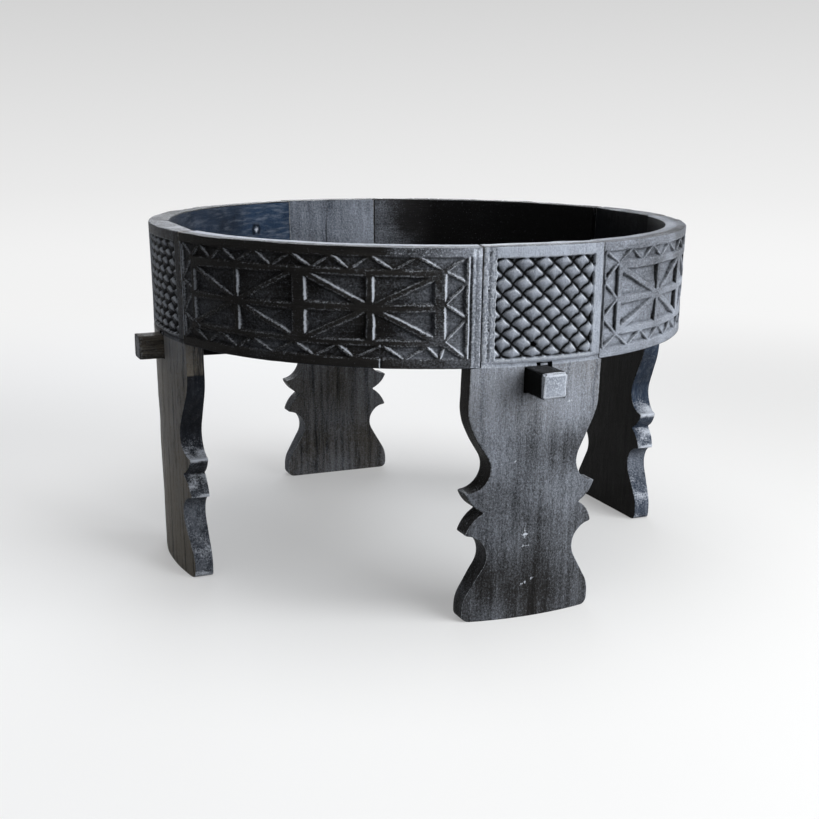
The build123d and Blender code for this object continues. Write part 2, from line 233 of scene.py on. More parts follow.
@dataclass(frozen=True)
class WaxedWood:
    """Wood stained black and waxed, with fine fibres, brush marks and a dry grey bloom.

    The piece's attributes say where each look lies: "bloom" how far the grey has come through,
    with painted sheen on the rims, their inner lips and in the pockets, painted light on the inner
    wall where its painted shade clears, and painted shade that darkens the legs' outer faces
    towards the foot; "worn" where hands rubbed the arrises, on carved ridges partly a painted
    highlight;
    "hollow" painted shade in deep cuts, creases and the nail hole, on walls and sides that
    face away from the light and on the shaded inner wall, with real dark in cracks, splits and
    round the knot; "shine" painted highlights on slopes, tips, arrises and the knot where they
    face the light; "inside" a blue tint on the ring's inner wall, the heads' inner faces and the
    floor boards, and a painted bluish sheen on the legs' narrow sides; "brown" where bare wood
    shows through the stain; and "mark" the light scratches.  "fibre" is the place in the wood, with
    the grain along its first axis.  Scales are features to a metre.
    """

    name: str
    stain: Colour = paint(25, 24, 24)
    streak: Colour = paint(48, 46, 44)
    grey: Colour = paint(170, 176, 187)
    rubbed: Colour = paint(172, 176, 182)
    # Colour of painted highlights, and of light scratches.
    sheen_and_rub: Colour = paint(212, 217, 226)
    # Colour of painted shade, and of dark pits.
    shade_and_pit_dark: Colour = paint(8, 8, 8)
    inner: Colour = paint(41, 58, 80)
    bare: Colour = paint(147, 138, 124)
    roughness: float = 0.42
    specular: float = 0.04
    bump: float = 1.0
    bump_height: float = 0.002
    patchy: float = 0.8
    streaky: float = 0.2
    fibre_scale: float = 800.0
    band_scale: float = 110.0
    cloud_scale: float = 14.0
    stipple_scale: float = 400.0
    speck_scale: float = 900.0
    scratch_scale: float = 210.0
    pore_scale: float = 1900.0

    def material(self) -> bpy.types.Material:
        """Builds the node material.

        Returns:
            The material: the stain, then under each other the blue tint, bare wood, bloom, rubbed
            arrises, painted shade with some dirt, painted highlights with light scratches, and
            pits.
        """
        s = Shader(self.name)
        bloom, worn, hollow, shine, inside, brown, mark = (s.attribute(look) for look in LOOKS)
        place = s.attribute("fibre", "Vector")
        along = s.stretch(place, *ALONG_GRAIN)
        fibres = s.noise(along, self.fibre_scale, 4, 0.65)
        bands = s.noise(along, self.band_scale, 3, 0.55)
        clouds = s.noise(place, self.cloud_scale, 4, 0.6)
        stipple = s.noise(place, self.stipple_scale, 4, 0.78)
        specks = s.noise(place, self.speck_scale, 2, 0.6)
        scratches = s.noise(s.stretch(place, 0.2, 1.0, 1.0), self.scratch_scale, 3, 0.6)
        pores = s.noise(along, self.pore_scale, 1).between(0.58, 0.70)

        grit = stipple * 0.85 + fibres * 0.15 - 0.5
        tone = (fibres * 0.5 + bands * 0.5 + clouds * 0.4 - 0.2).between(0.25, 0.75)
        uneven = (clouds - 0.5) * self.patchy + (bands - 0.5) * self.streaky
        dusty = (grit * 1.1 + bloom * 1.3 + uneven - 0.23).between(0.0, 1.0)
        rub = (grit * 2.2 + worn * 1.2 - 0.45).between(0.0, 0.7) * 0.85
        # Painted highlight, broken up by the grit.
        painted_gleam = (grit * 1.8 + shine).between(0.15, 0.9)
        bareness = brown * (bands * 2.2 + fibres * 2.4 - 1.6).between(0.1, 0.95)
        lines = inside * (scratches + clouds * 0.4).between(0.62, 1.0) * 0.22
        scratch = (grit * 3.0 + mark).between(0.45, 1.0) * 0.8
        pits = (pores * 0.3).most(specks.between(0.62, 0.70) * 0.4)

        colour = s.blend(tone, self.stain, self.streak)
        for share, over in (
            (inside * (clouds * 1.6 - 0.1), self.inner),
            (bareness, self.bare),
            (dusty.most(lines), self.grey),
            (rub, self.rubbed),
            # Painted shade, with some real dark in cracks, splits and round the knot, where no
            # painted highlight lies.
            (hollow * (1 - shine), self.shade_and_pit_dark),
            # Painted highlights, and the light scratches in the same colour.
            ((painted_gleam * 0.85).most(scratch), self.sheen_and_rub),
            (pits, self.shade_and_pit_dark),
        ):
            colour = s.blend(share, colour, over)
        rough = stipple * 0.3 + clouds * 0.2 + hollow * 0.12 - inside * 0.1 - painted_gleam * 0.14
        height = stipple * 1.0 + fibres * 0.25 + bands * 0.25 + clouds * 0.2 - pits * 0.5
        inputs = {
            "Base Color": colour,
            "Roughness": rough + (self.roughness - 0.25),
            "Specular IOR Level": self.specular,
            "Normal": s.bump(height, self.bump, self.bump_height),
        }
        return s.finish(s.principled(inputs))


@dataclass(frozen=True)
class ForgedIron:
    """Hammered iron of nails and pins, with rust in the low places."""

    name: str
    iron: Colour = paint(62, 60, 58)
    rust: Colour = paint(88, 58, 40)
    blotch_scale: float = 420.0
    pit_scale: float = 1500.0
    bump: float = 0.5
    bump_height: float = 0.0006

    def material(self) -> bpy.types.Material:
        """Builds the node material.

        Returns:
            The material: iron, and rust without a metal's gloss in blotches.
        """
        s = Shader(self.name)
        place = s.object_place()
        blotches = s.noise(place, self.blotch_scale, 4, 0.6)
        pits = s.noise(place, self.pit_scale, 2)
        rusty = blotches.between(0.45, 0.7)
        inputs = {
            "Base Color": s.blend(rusty, self.iron, self.rust),
            "Metallic": 1 - rusty,
            "Roughness": blotches * 0.4 + 0.35,
            "Normal": s.bump(blotches + pits * 0.4, self.bump, self.bump_height),
        }
        return s.finish(s.principled(inputs))


Finish = WaxedWood | ForgedIron


# ------------------------------------------------------------------------------------ the studio
def add(
    name: str, data: Any, axes: tuple[np.ndarray, ...] = (), place: Any = 0
) -> bpy.types.Object:
    """Adds an object to the scene.

    Args:
        name: the object's name.
        data: its mesh, lamp or camera.
        axes: its three axes, where it is turned.
        place: its place in metres, where it is turned.

    Returns:
        The object.
    """
    made = bpy.data.objects.new(name, data)
    if axes:
        matrix = np.eye(4)
        matrix[:3, :3] = np.stack(axes, 1)
        matrix[:3, 3] = place
        made.matrix_world = matrix.T.tolist()
    bpy.context.scene.collection.objects.link(made)
    return made


@dataclass
class Lamp:
    """A soft box aimed at the table; place, width and height are metres, power watts."""

    name: str
    place: Place
    width: float
    height: float
    power: float
    colour: Colour = (1.0, 1.0, 1.0)
    aim: Place = (0.0, 0.0, 0.25)

    def hang(self) -> None:
        """Adds the lamp to the scene, level and facing its aim."""
        data = bpy.data.lights.new(self.name, "AREA")
        data.shape = "RECTANGLE"
        data.size, data.size_y = self.width, self.height
        data.energy = self.power
        data.color = self.colour
        away = np.subtract(self.place, self.aim)
        away = away / np.linalg.norm(away)
        across = np.cross((0, 0, 1), away)
        across = across / np.linalg.norm(across)
        add(self.name, data, (across, np.cross(away, across), away), self.place)


@dataclass
class Studio:
    """Camera, lamps, and a round floor that bends up into a pale backdrop.

    Angles of the camera are degrees, its lens millimetres, and all other lengths metres.
    """

    azimuth: float = -22.855
    pitch: float = 13.464
    roll: float = 0.464
    distance: float = 1.7945
    aim_across: float = -0.00804
    aim_height: float = 0.17226
    lens: float = 57.07
    sensor: float = 36.0
    sight: float = 60.0
    floor_radius: float = 3.2
    bend_radius: float = 2.4
    wall_height: float = 4.5
    floor_lines: int = 25
    bend_lines: int = 17
    round_lines: int = 96
    key_side: Place = (0.92, -0.39, 0.0)
    shadow_fill: float = 0.34
    sky_colour: tuple[float, float, float, float] = (0.93, 0.96, 1.0, 1)
    sky_strength: float = 0.2
    lamps: tuple[Lamp, ...] = (
        Lamp("key_softbox", (1.28, -1.75, 0.98), 2.0, 1.5, 76, (0.95, 0.975, 1.0)),
        Lamp("top_softbox", (0.2, -0.1, 2.6), 2.0, 2.0, 40, (1.0, 0.99, 0.98)),
        Lamp("back_softbox", (0.9, 2.6, 0.9), 1.6, 1.2, 28, (0.90, 0.94, 1.0)),
    )

    def camera(self) -> None:
        """Sets the camera: turned and pitched round the aim point, then rolled a little."""
        turn, pitch, roll = (math.radians(v) for v in (self.azimuth, self.pitch, self.roll))
        level = np.array([math.cos(turn), math.sin(turn), 0.0])
        flat = np.array([math.sin(turn), -math.cos(turn), 0.0])
        back = flat * math.cos(pitch) + np.array([0.0, 0.0, math.sin(pitch)])
        upright = np.cross(back, level)
        right = math.cos(roll) * level + math.sin(roll) * upright
        up = math.cos(roll) * upright - math.sin(roll) * level
        place = self.aim_across * level + np.array([0, 0, self.aim_height]) + self.distance * back
        data = bpy.data.cameras.new("camera")
        data.sensor_width = self.sensor
        data.lens = self.lens
        data.clip_end = self.sight
        bpy.context.scene.camera = add("camera", data, (right, up, back), place)

    def backdrop(self) -> None:
        """Floor disc, quarter bend and wall: one profile turned round the upright axis."""
        bend = np.linspace(0, math.pi / 2, self.bend_lines)[1:]
        floor = np.linspace(0, self.floor_radius, self.floor_lines)
        curve = self.floor_radius + self.bend_radius * np.sin(bend)
        reach = np.concatenate([floor, curve, [self.floor_radius + self.bend_radius]])
        rise = self.bend_radius * (1 - np.cos(bend))
        height = np.concatenate([0 * floor, rise, [self.wall_height]])
        turn = np.linspace(0, 2 * math.pi, self.round_lines, endpoint=False)[:, None]
        points = np.stack([reach * np.cos(turn), reach * np.sin(turn), height + 0 * turn], -1)
        mesh = bpy.data.meshes.new("backdrop")
        faces = wrapped(self.round_lines, len(reach))
        mesh.from_pydata(points.reshape(-1, 3).tolist(), [], faces.tolist())
        mesh.validate()
        mesh.polygons.foreach_set("use_smooth", np.ones(len(mesh.polygons), bool))
        mesh.materials.append(self.backdrop_material())
        bowl = add("backdrop", mesh)

    def backdrop_material(self) -> bpy.types.Material:
        """Lit floor that takes the shadow, fading to an even pale tone towards the wall.

        Returns:
            The material.  Rays from the camera, and from gloss and glass, see the pale tone, a
            little darker towards the key lamp.  For all other light the floor is grey and the wall
            is clear, and from outside the whole is clear.
        """
        s = Shader("studio_backdrop")
        place = s.object_place()
        reach = s.combine("LENGTH", "Value", s.combine("MULTIPLY", "Vector", place, (1, 1, 0)))
        high = s.node("ShaderNodeSeparateXYZ", {}, {0: place}, "Z")
        seen = s.ray("Camera").most(s.ray("Glossy")).most(s.ray("Transmission"))
        below = s.node("ShaderNodeNewGeometry", {}, {}, "Backfacing")
        sideways = s.combine("DOT_PRODUCT", "Value", place, self.key_side)
        lamp_side = (sideways + s.noise(place, 2.0, 2) * 0.05).between(-0.9, 0.9)
        paper = s.blend(lamp_side, paint(247, 247, 247), paint(209, 208, 206))
        paper = s.blend(seen, paint(112, 112, 112), paper)
        lit = s.principled({"Base Color": paper, "Roughness": 0.9})
        greys = ((0.0, 248), (0.10, 240), (0.25, 232), (0.55, 216), (1.0, 200))
        tones = [(position, paint(grey, grey, grey)) for position, grey in greys]
        even = s.node("ShaderNodeValToRGB", {"stops": tones}, {0: high * 0.5})
        level = sideways.between(-3.5, 3.5) * 0.07 + 0.93
        glow = s.node("ShaderNodeEmission", {}, {"Color": s.blend(1.0, even, level, "MULTIPLY")})
        clear = s.node("ShaderNodeBsdfTransparent", {}, {})
        far = (reach.between(0.8, 2.2) * (1 - self.shadow_fill) + self.shadow_fill) * seen
        wall = high.between(0.02, 0.06) * (1 - seen)
        return s.finish(s.mixed(wall.most(below), s.mixed(far, lit, glow), clear))

    def sky(self) -> None:
        """Soft even light from all round."""
        world = bpy.data.worlds.new("studio")
        world.use_nodes = True
        background = world.node_tree.nodes["Background"]
        background.inputs["Color"].default_value = self.sky_colour
        background.inputs["Strength"].default_value = self.sky_strength
        bpy.context.scene.world = world

    def build(self) -> None:
        """Sets up the whole studio."""
        self.camera()
        self.backdrop()
        self.sky()
        for lamp in self.lamps:
            lamp.hang()
        bpy.context.scene.view_settings.view_transform = "Standard"
        LOG.info("studio: camera, backdrop and %d lamps", len(self.lamps))


# ------------------------------------------------------------------------- worked surfaces
def scatter(column: np.ndarray, row: np.ndarray, seed: float) -> np.ndarray:
    """Even random number from 0 to 1 for each cell: the fraction of a large multiple of a sine."""
    value = np.sin(column * 127.1 + row * 311.7 + seed * 74.7) * 43758.5453
    return value - np.floor(value)


def ripple(x: np.ndarray, y: np.ndarray, size: float, seed: float) -> np.ndarray:
    """Smooth random field from -1 to 1.

    Each corner of a square cell has a random value, and inside the cell they are joined with the
    weight 3t^2 - 2t^3 along both sides.

    Args:
        x, y: places in millimetres.
        size: side of a cell in millimetres.
        seed: number of the field.

    Returns:
        The field at each place.
    """
    column, row = np.floor(x / size), np.floor(y / size)
    s, t = x / size - column, y / size - row
    s, t = s * s * (3 - 2 * s), t * t * (3 - 2 * t)
    low = scatter(column, row, seed) * (1 - s) + scatter(column + 1, row, seed) * s
    high = scatter(column, row + 1, seed) * (1 - s) + scatter(column + 1, row + 1, seed) * s
    return 2 * (low * (1 - t) + high * t) - 1


def hills(x: np.ndarray, y: np.ndarray, size: float, seed: float) -> np.ndarray:
    """Smooth random field from 0 to 2."""
    return 1 + ripple(x, y, size, seed)


def ramp(value: np.ndarray, start: float, length: float) -> np.ndarray:
    """Straight ramp from 0 at the start to 1 after the length, level outside."""
    return np.clip((value - start) / length, 0, 1)


def fading(distance: np.ndarray, reach: float) -> np.ndarray:
    """1 at no distance, falling straight to 0 at the reach."""
    return np.clip(1 - distance / reach, 0, 1)


def mound(value: np.ndarray, centre: float, width: float) -> np.ndarray:
    """Bell: e to the power of less the square of the distance from the centre over the width."""
    return np.exp(-(((value - centre) / width) ** 2))


def eased(distance: np.ndarray, radius: float) -> np.ndarray:
    """How far a rounded arris falls below its face at a distance from it.

    A quarter circle: radius - sqrt(radius^2 - (radius - distance)^2).  On the arris itself both
    faces fall by the radius times 1 - sqrt(1/2), where the two halves of the circle meet.

    Args:
        distance: distance from the arris along the face.
        radius: radius of the arris.

    Returns:
        The fall, in the same unit.
    """
    inside = np.minimum(fading(distance, radius), 0.7071)
    return radius * (1 - np.sqrt(1 - inside ** 2))


def softened(field: np.ndarray, reach: int) -> np.ndarray:
    """Field averaged over a square of 2 reach + 1 places, twice, by running sums.

    Args:
        field: values on a grid.
        reach: places on each side that count.

    Returns:
        The smoother field.
    """
    for _ in range(2):
        for axis in (0, 1):
            pad = [(reach + 1, reach) if a == axis else (0, 0) for a in (0, 1)]
            total = np.cumsum(np.pad(field, pad, "edge"), axis=axis)
            width = 2 * reach + 1
            high = np.take(total, np.arange(width, total.shape[axis]), axis)
            low = np.take(total, np.arange(0, total.shape[axis] - width), axis)
            field = (high - low) / width
    return field


def flare(height: np.ndarray) -> np.ndarray:
    """How far the ring leans outward at a height: 2.6 mm times the risen share to the power 1.5."""
    return 2.6 * np.clip((height - 301.0) / 135.0, 0, 1) ** 1.5


def turned(points: np.ndarray, degrees: float) -> np.ndarray:
    """Points turned round the upright axis."""
    c, s = math.cos(math.radians(degrees)), math.sin(math.radians(degrees))
    return points @ np.array([[c, s, 0], [-s, c, 0], [0, 0, 1]])


def spaced(length: float, pitch: float, edges: tuple[float, ...]) -> np.ndarray:
    """Places from 0 to length: close lines at both ends and even steps between them.

    Args:
        length: length of the run.
        pitch: about the length of an even step.
        edges: places of the close lines, from the end inward.

    Returns:
        The places in order.
    """
    start = np.array(edges)
    count = max(2, int(round((length - 2 * start[-1]) / pitch)) + 1)
    middle = np.linspace(start[-1], length - start[-1], count)
    return np.concatenate([start[:-1], middle, length - start[-2::-1]])


def wrapped(rows: int, columns: int) -> np.ndarray:
    """Four-sided faces of a grid of corners whose last row joins its first.

    Args:
        rows, columns: size of the grid; the corner in row r and column c is r columns + c.

    Returns:
        Four corners for each face.
    """
    row, column = np.meshgrid(np.arange(rows), np.arange(columns - 1), indexing="ij")
    first, after = row * columns + column, (row + 1) % rows * columns + column
    return np.stack([first, first + 1, after + 1, after], -1).reshape(-1, 4)


def fan(ring: np.ndarray, centre: int, backwards: bool) -> list[list[int]]:
    """Triangles that close a ring of corners.

    Args:
        ring: numbers of the corners.
        centre: number of the corner in the middle.
        backwards: whether the triangles go round against the ring.

    Returns:
        Three corners for each triangle.
    """
    pair = np.stack([ring, np.roll(ring, -1)], 1)
    pair = pair[:, ::-1] if backwards else pair
    return np.column_stack([pair, np.full(len(ring), centre)]).tolist()


def skin(solid: np.ndarray) -> tuple[np.ndarray, np.ndarray]:
    """Outside of a block of cells.

    A face stands wherever a filled cell meets an empty one or the end of the block, and every
    face turns its front to the empty side.

    Args:
        solid: true for each filled cell, along the block's three directions.

    Returns:
        Lattice place of each corner used, and the corners of each four-sided face.
    """
    size = np.array(solid.shape) + 1
    padded = np.pad(solid, 1).astype(np.int8)
    faces = []
    for axis in range(3):
        step = np.diff(padded, axis=axis)
        one, two = np.eye(3, dtype=int)[[(axis + 1) % 3, (axis + 2) % 3]]
        for way in (1, -1):
            place = np.argwhere(step == way) - one - two
            ring = (0 * one, one, one + two, two)
            corners = np.stack([place + c for c in (ring if way < 0 else ring[::-1])], 1)
            faces.append(corners)
    corners = np.concatenate(faces)
    flat = (corners[..., 0] * size[1] + corners[..., 1]) * size[2] + corners[..., 2]
    used, quads = np.unique(flat, return_inverse=True)
    places = np.stack([used // (size[1] * size[2]), used // size[2] % size[1], used % size[2]], 1)
    return places, quads.reshape(-1, 4)


def cells(*lines: np.ndarray) -> np.ndarray:
    """A full block of cells between lines in three directions."""
    return np.ones([len(line) - 1 for line in lines], bool)


def laid(solid: np.ndarray, *lines: np.ndarray) -> tuple[np.ndarray, ...]:
    """Skin of a block of cells, laid out on its lines.

    Args:
        solid: true for each filled cell.
        lines: places of the lines in each direction.

    Returns:
        The corners' places in each direction, and the corners of each four-sided face.
    """
    place, quads = skin(solid)
    return (*(line[index] for line, index in zip(lines, place.T)), quads)


@dataclass
class Piece:
    """A finished surface on its way to the scene: corners in millimetres, and what it wears."""

    name: str
    points: np.ndarray
    faces: list[list[int]]
    fibre: np.ndarray
    looks: dict[str, np.ndarray]

    def volume(self) -> float:
        """Signed volume: a sixth of each corner triple's product, added up over a fan of each face.

        Returns:
            Cubic millimetres, less than nothing where the faces turn inward.
        """
        total = 0.0
        for count in (3, 4):
            rows = np.array([f for f in self.faces if len(f) == count], int).reshape(-1, count)
            for k in range(1, count - 1):
                a, b, c = (self.points[rows[:, i]] for i in (0, k, k + 1))
                total += np.einsum("ij,ij->", a, np.cross(b, c)) / 6
        return total

    def place(self, material: bpy.types.Material, slot: str, *nodes: str) -> None:
        """Puts the piece in the scene in metres.

        Args:
            material: what it is made of.
            slot: not used.
            nodes: the frame's nodes that it stands for.
        """
        if self.volume() < 0:
            self.faces = [face[::-1] for face in self.faces]
        mesh = bpy.data.meshes.new(self.name)
        mesh.from_pydata((self.points * METRE).tolist(), [], self.faces)
        mesh.polygons.foreach_set("use_smooth", np.ones(len(mesh.polygons), bool))
        for name, look in self.looks.items():
            layer = mesh.attributes.new(name, "FLOAT", "POINT")
            layer.data.foreach_set("value", np.clip(look, 0, 1.2).astype(np.float32))
        layer = mesh.attributes.new("fibre", "FLOAT_VECTOR", "POINT")
        layer.data.foreach_set("vector", (self.fibre * METRE).astype(np.float32).ravel())
        mesh.materials.append(material)
        made = add(self.name, mesh)
        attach(made, "root")
        if nodes:
            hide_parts(*nodes)
        LOG.info("%s: %d faces", self.name, len(self.faces))


def dress(node: str, finish: Finish) -> None:
    """Gives a node of the frame its finish.

    Args:
        node: the node's name.
        finish: what it is made of.
    """
    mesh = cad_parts[node].data
    mesh.materials.clear()
    mesh.materials.append(finish.material())
    LOG.info("%s: dressed", node)


# -------------------------------------------------------------------------------- knife work
@dataclass
class Carving:
    """Depth of the cuts, in millimetres, over places on a face: across to the right and up.

    The knife's walls ease by some degrees where they face it.  Three shares say how much painted
    shade lies in deep places, in sheltered creases and on walls that face left, away from the
    light.
    """

    across: np.ndarray
    up: np.ndarray
    seed: float
    ease: float = 6.0
    # Shares of painted shade: in deep places, in creases, and on walls that face left, away from
    # the light.
    depth_shade: float = 0.5
    creases: float = 0.8
    lee: float = 0.0
    wander: float = 0.45
    tremble: float = 0.2
    corner_play: float = 0.5
    joint: float = 0.5

    def __post_init__(self) -> None:
        """Starts with uncut wood, on places that wander a little, as a hand does."""
        self.depth = np.zeros(np.broadcast(self.across, self.up).shape)
        x, z = self.across, self.up
        slow, quick, seed = self.wander, self.tremble, self.seed
        self.x = x + slow * ripple(x, z, 13, seed) + quick * ripple(x, z, 4, seed + 1)
        self.z = z + slow * ripple(x, z, 11, seed + 2) + quick * ripple(x, z, 4, seed + 3)
        self.chips = 0

    def chance(self, number: float) -> float:
        """Random number from -1 to 1 for the chip that is being cut."""
        return float(2 * scatter(np.float64(self.chips), np.float64(number), self.seed) - 1)

    def chip(
        self,
        corners: list[Point],
        land: tuple[float, float, float],
        depth: float,
        leans: tuple[float, float, float],
        tip_depth: float = 0.5,
    ) -> None:
        """Cuts a triangular pocket.

        Its depth is the least of three leaning walls and a floor.  A wall is as deep as the
        distance inside its side, divided by the tangent of its lean from upright.  A wall that
        faces right or upward leans more, because the knife comes from that side, and the others
        less.  The floor scoops from the first corner, where it is shallow, to the side between
        the other two.

        Args:
            corners: the shallow corner and the two ends of the deep side, in millimetres.
            land: uncut width left beside each wall: first, second and deep side.
            depth: depth along the deep side.
            leans: degrees by which each wall leans: first, second and deep side.
            tip_depth: depth at the shallow corner.
        """
        self.chips += 1
        play = [[self.corner_play * self.chance(2 * k + n) for n in (0, 1)] for k in range(3)]
        c = np.array(corners) + play
        (left, low), (right, high) = c.min(0), c.max(0)
        near = (self.x > left) & (self.x < right) & (self.z > low) & (self.z < high)
        x, z = self.x[near], self.z[near]
        walls = []
        for (first, second), margin, lean in zip(((0, 1), (2, 0), (1, 2)), land, leans):
            side = c[second] - c[first]
            normal = np.array([-side[1], side[0]]) / np.hypot(*side)
            reach = normal @ (c[3 - first - second] - c[first])
            normal, reach = normal * np.sign(reach), abs(reach)
            inside = (x - c[first][0]) * normal[0] + (z - c[first][1]) * normal[1]
            facing = 0.9 * normal[0] + 0.35 * normal[1]
            slant = lean + self.ease * facing * (1.0 if facing > 0 else 0.45)
            walls.append((inside - margin) / math.tan(math.radians(slant)))
        rise = np.clip(1 - inside / reach, 0, 1)
        full = depth * (1 + 0.12 * self.chance(9))
        floor = tip_depth + (full - tip_depth) * rise ** 0.8
        floor = floor + 0.32 * ripple(x, z, 3.1, self.seed + self.chips) + 0.1 * self.chance(10)
        cut = walls[0]
        for other in (walls[1], walls[2], floor):
            cut = self.least(cut, other)
        self.depth[near] = np.maximum(self.depth[near], cut)

    def least(self, first: np.ndarray, second: np.ndarray) -> np.ndarray:
        """Smaller of two, joined by a parabola where they differ by less than the joint."""
        part = np.clip(0.5 + 0.5 * (second - first) / self.joint, 0, 1)
        return second * (1 - part) + first * part - self.joint * part * (1 - part)

    def groove(self, start: Point, end: Point, width: float, depth: float) -> None:
        """Cuts a V: depth times 1 less the distance from the line over half the width.

        Args:
            start, end: ends of the line in millimetres.
            width: width at the surface.
            depth: depth in the middle.
        """
        self.chips += 1
        run = np.subtract(end, start)
        length = np.hypot(*run)
        along = ((self.x - start[0]) * run[0] + (self.z - start[1]) * run[1]) / length
        aside = ((self.x - start[0]) * run[1] - (self.z - start[1]) * run[0]) / length
        past = np.maximum(np.maximum(-along, along - length), 0)
        away = np.hypot(aside, past * 1.4)
        self.depth = np.maximum(self.depth, depth * (1 - 2 * away / width))

    def worn(self, reach: int = 2) -> np.ndarray:
        """How far each place stands above the places round it, from 0 to 1."""
        return np.clip((softened(self.depth, reach) - self.depth) / 0.9, 0, 1)

    def fall(self, places: np.ndarray, axis: int) -> np.ndarray:
        """How steeply the cuts deepen along an array axis."""
        return np.gradient(self.depth, axis=axis) / np.gradient(places, axis=axis)

    def shine(self, axis: int) -> np.ndarray:
        """Painted highlight: how steeply each place faces right, towards the light, and a little
        upward, dimmer in deep cuts.

        Args:
            axis: the array axis that runs across.

        Returns:
            Values from 0 to 1.
        """
        right, rise = self.fall(self.across, axis), self.fall(self.up, 1 - axis)
        slope = np.clip(0.9 * right + 0.2 * rise - 0.1, 0, 1)
        return slope * np.clip(1.2 - self.depth / 3.2, 0.12, 1)

    def hollow(self, axis: int) -> np.ndarray:
        """Painted shade: how deep and how sheltered each place is, and how steeply it faces left,
        away from the light.

        Args:
            axis: the array axis that runs across.

        Returns:
            Values from 0 to 1.
        """
        sunk = np.clip((self.depth - softened(self.depth, 3)) / 1.2, 0, 1)
        left = np.clip(-self.fall(self.across, axis) - 0.15, 0, 1)
        dull = self.depth_shade * np.clip(self.depth / 3, 0, 1)
        return np.clip(dull + self.creases * sunk + self.lee * left, 0, 1)


# ------------------------------------------------------------------------------ carved panels
@dataclass
class Border:
    """Zigzag of a panel's frame: degrees along the ring and heights of its points.

    The last four give the outer and the inner edge of each side of the frame.
    """

    top_outer: tuple[float, ...]
    top_inner: tuple[float, ...]
    low_outer: tuple[float, ...]
    low_inner: tuple[float, ...]
    left_outer: tuple[float, ...]
    left_inner: tuple[float, ...]
    right_outer: tuple[float, ...]
    right_inner: tuple[float, ...]
    top: Point = (425.0, 410.0)
    low: Point = (311.8, 326.5)
    left: Point = (14.6, 18.1)
    right: Point = (75.8, 71.9)

    @classmethod
    def even(cls, seed: float) -> "Border":
        """Border with even teeth, each a little out of place.

        Args:
            seed: number of the chances.

        Returns:
            The border.
        """

        def row(start: float, end: float, count: int, amount: float, key: int) -> tuple[float, ...]:
            """Even places, those between the ends moved by chance.

            Args:
                start, end: the first and the last place.
                count: number of places.
                amount: farthest that a place moves.
                key: number of the row.

            Returns:
                The places.
            """
            k = np.arange(count, dtype=float)
            move = amount * (2 * scatter(k, 0 * k + key, seed) - 1) * (k % (count - 1) > 0)
            return tuple(np.linspace(start, end, count) + move)

        (first, start), (last, end) = cls.left, cls.right
        half = (end - start) / 14
        top, low = ((first, *row(start + half, end - half, 7, 0.45, key), last) for key in (1, 2))
        side = [(cls.top[0], 389.1, 347.4, cls.low[0]), (cls.top[1], 368.3, cls.low[1])]
        return cls(top, row(start, end, 8, 0.5, 3), low, row(start, end, 8, 0.5, 4), *side, *side)


@dataclass
class Star:
    """Star of eight pockets in a rectangle: degrees along the ring, and heights.

    The tilt is how far the top line rises at its right end and falls at its left.  The rib and the
    diagonal are half the widths of the level and upright ribs, and of the slanting ones.
    """

    start: float
    middle: float
    end: float
    top: float = 402.5
    centre: float = 366.0
    low: float = 332.5
    tilt: float = 0.0
    rib: float = 3.0
    diagonal: float = 2.6


@dataclass
class Unrolled:
    """A panel's surface laid flat: a row for each point of its section, a column for each angle.

    The section's points (radius, height) have their inward directions; the first face_rows of
    them are the carved face, and the next rim_lines go over the rim.  Across and around are the
    places of the corners in millimetres, from_end their distance from the nearer end, and rim a
    bell over the outer arris.
    """

    section: np.ndarray
    inward: np.ndarray
    face_rows: int
    angles: np.ndarray
    across: np.ndarray
    around: np.ndarray
    from_end: np.ndarray
    rim: np.ndarray
    rim_lines: int

    @property
    def part(self) -> np.ndarray:
        """Numbers of the section's points, counted from the last one of the carved face."""
        return np.arange(len(self.section))[:, None] - self.face_rows

    @property
    def inner_face(self) -> np.ndarray:
        """Which points lie on the inner wall, or below it."""
        return self.part >= self.rim_lines


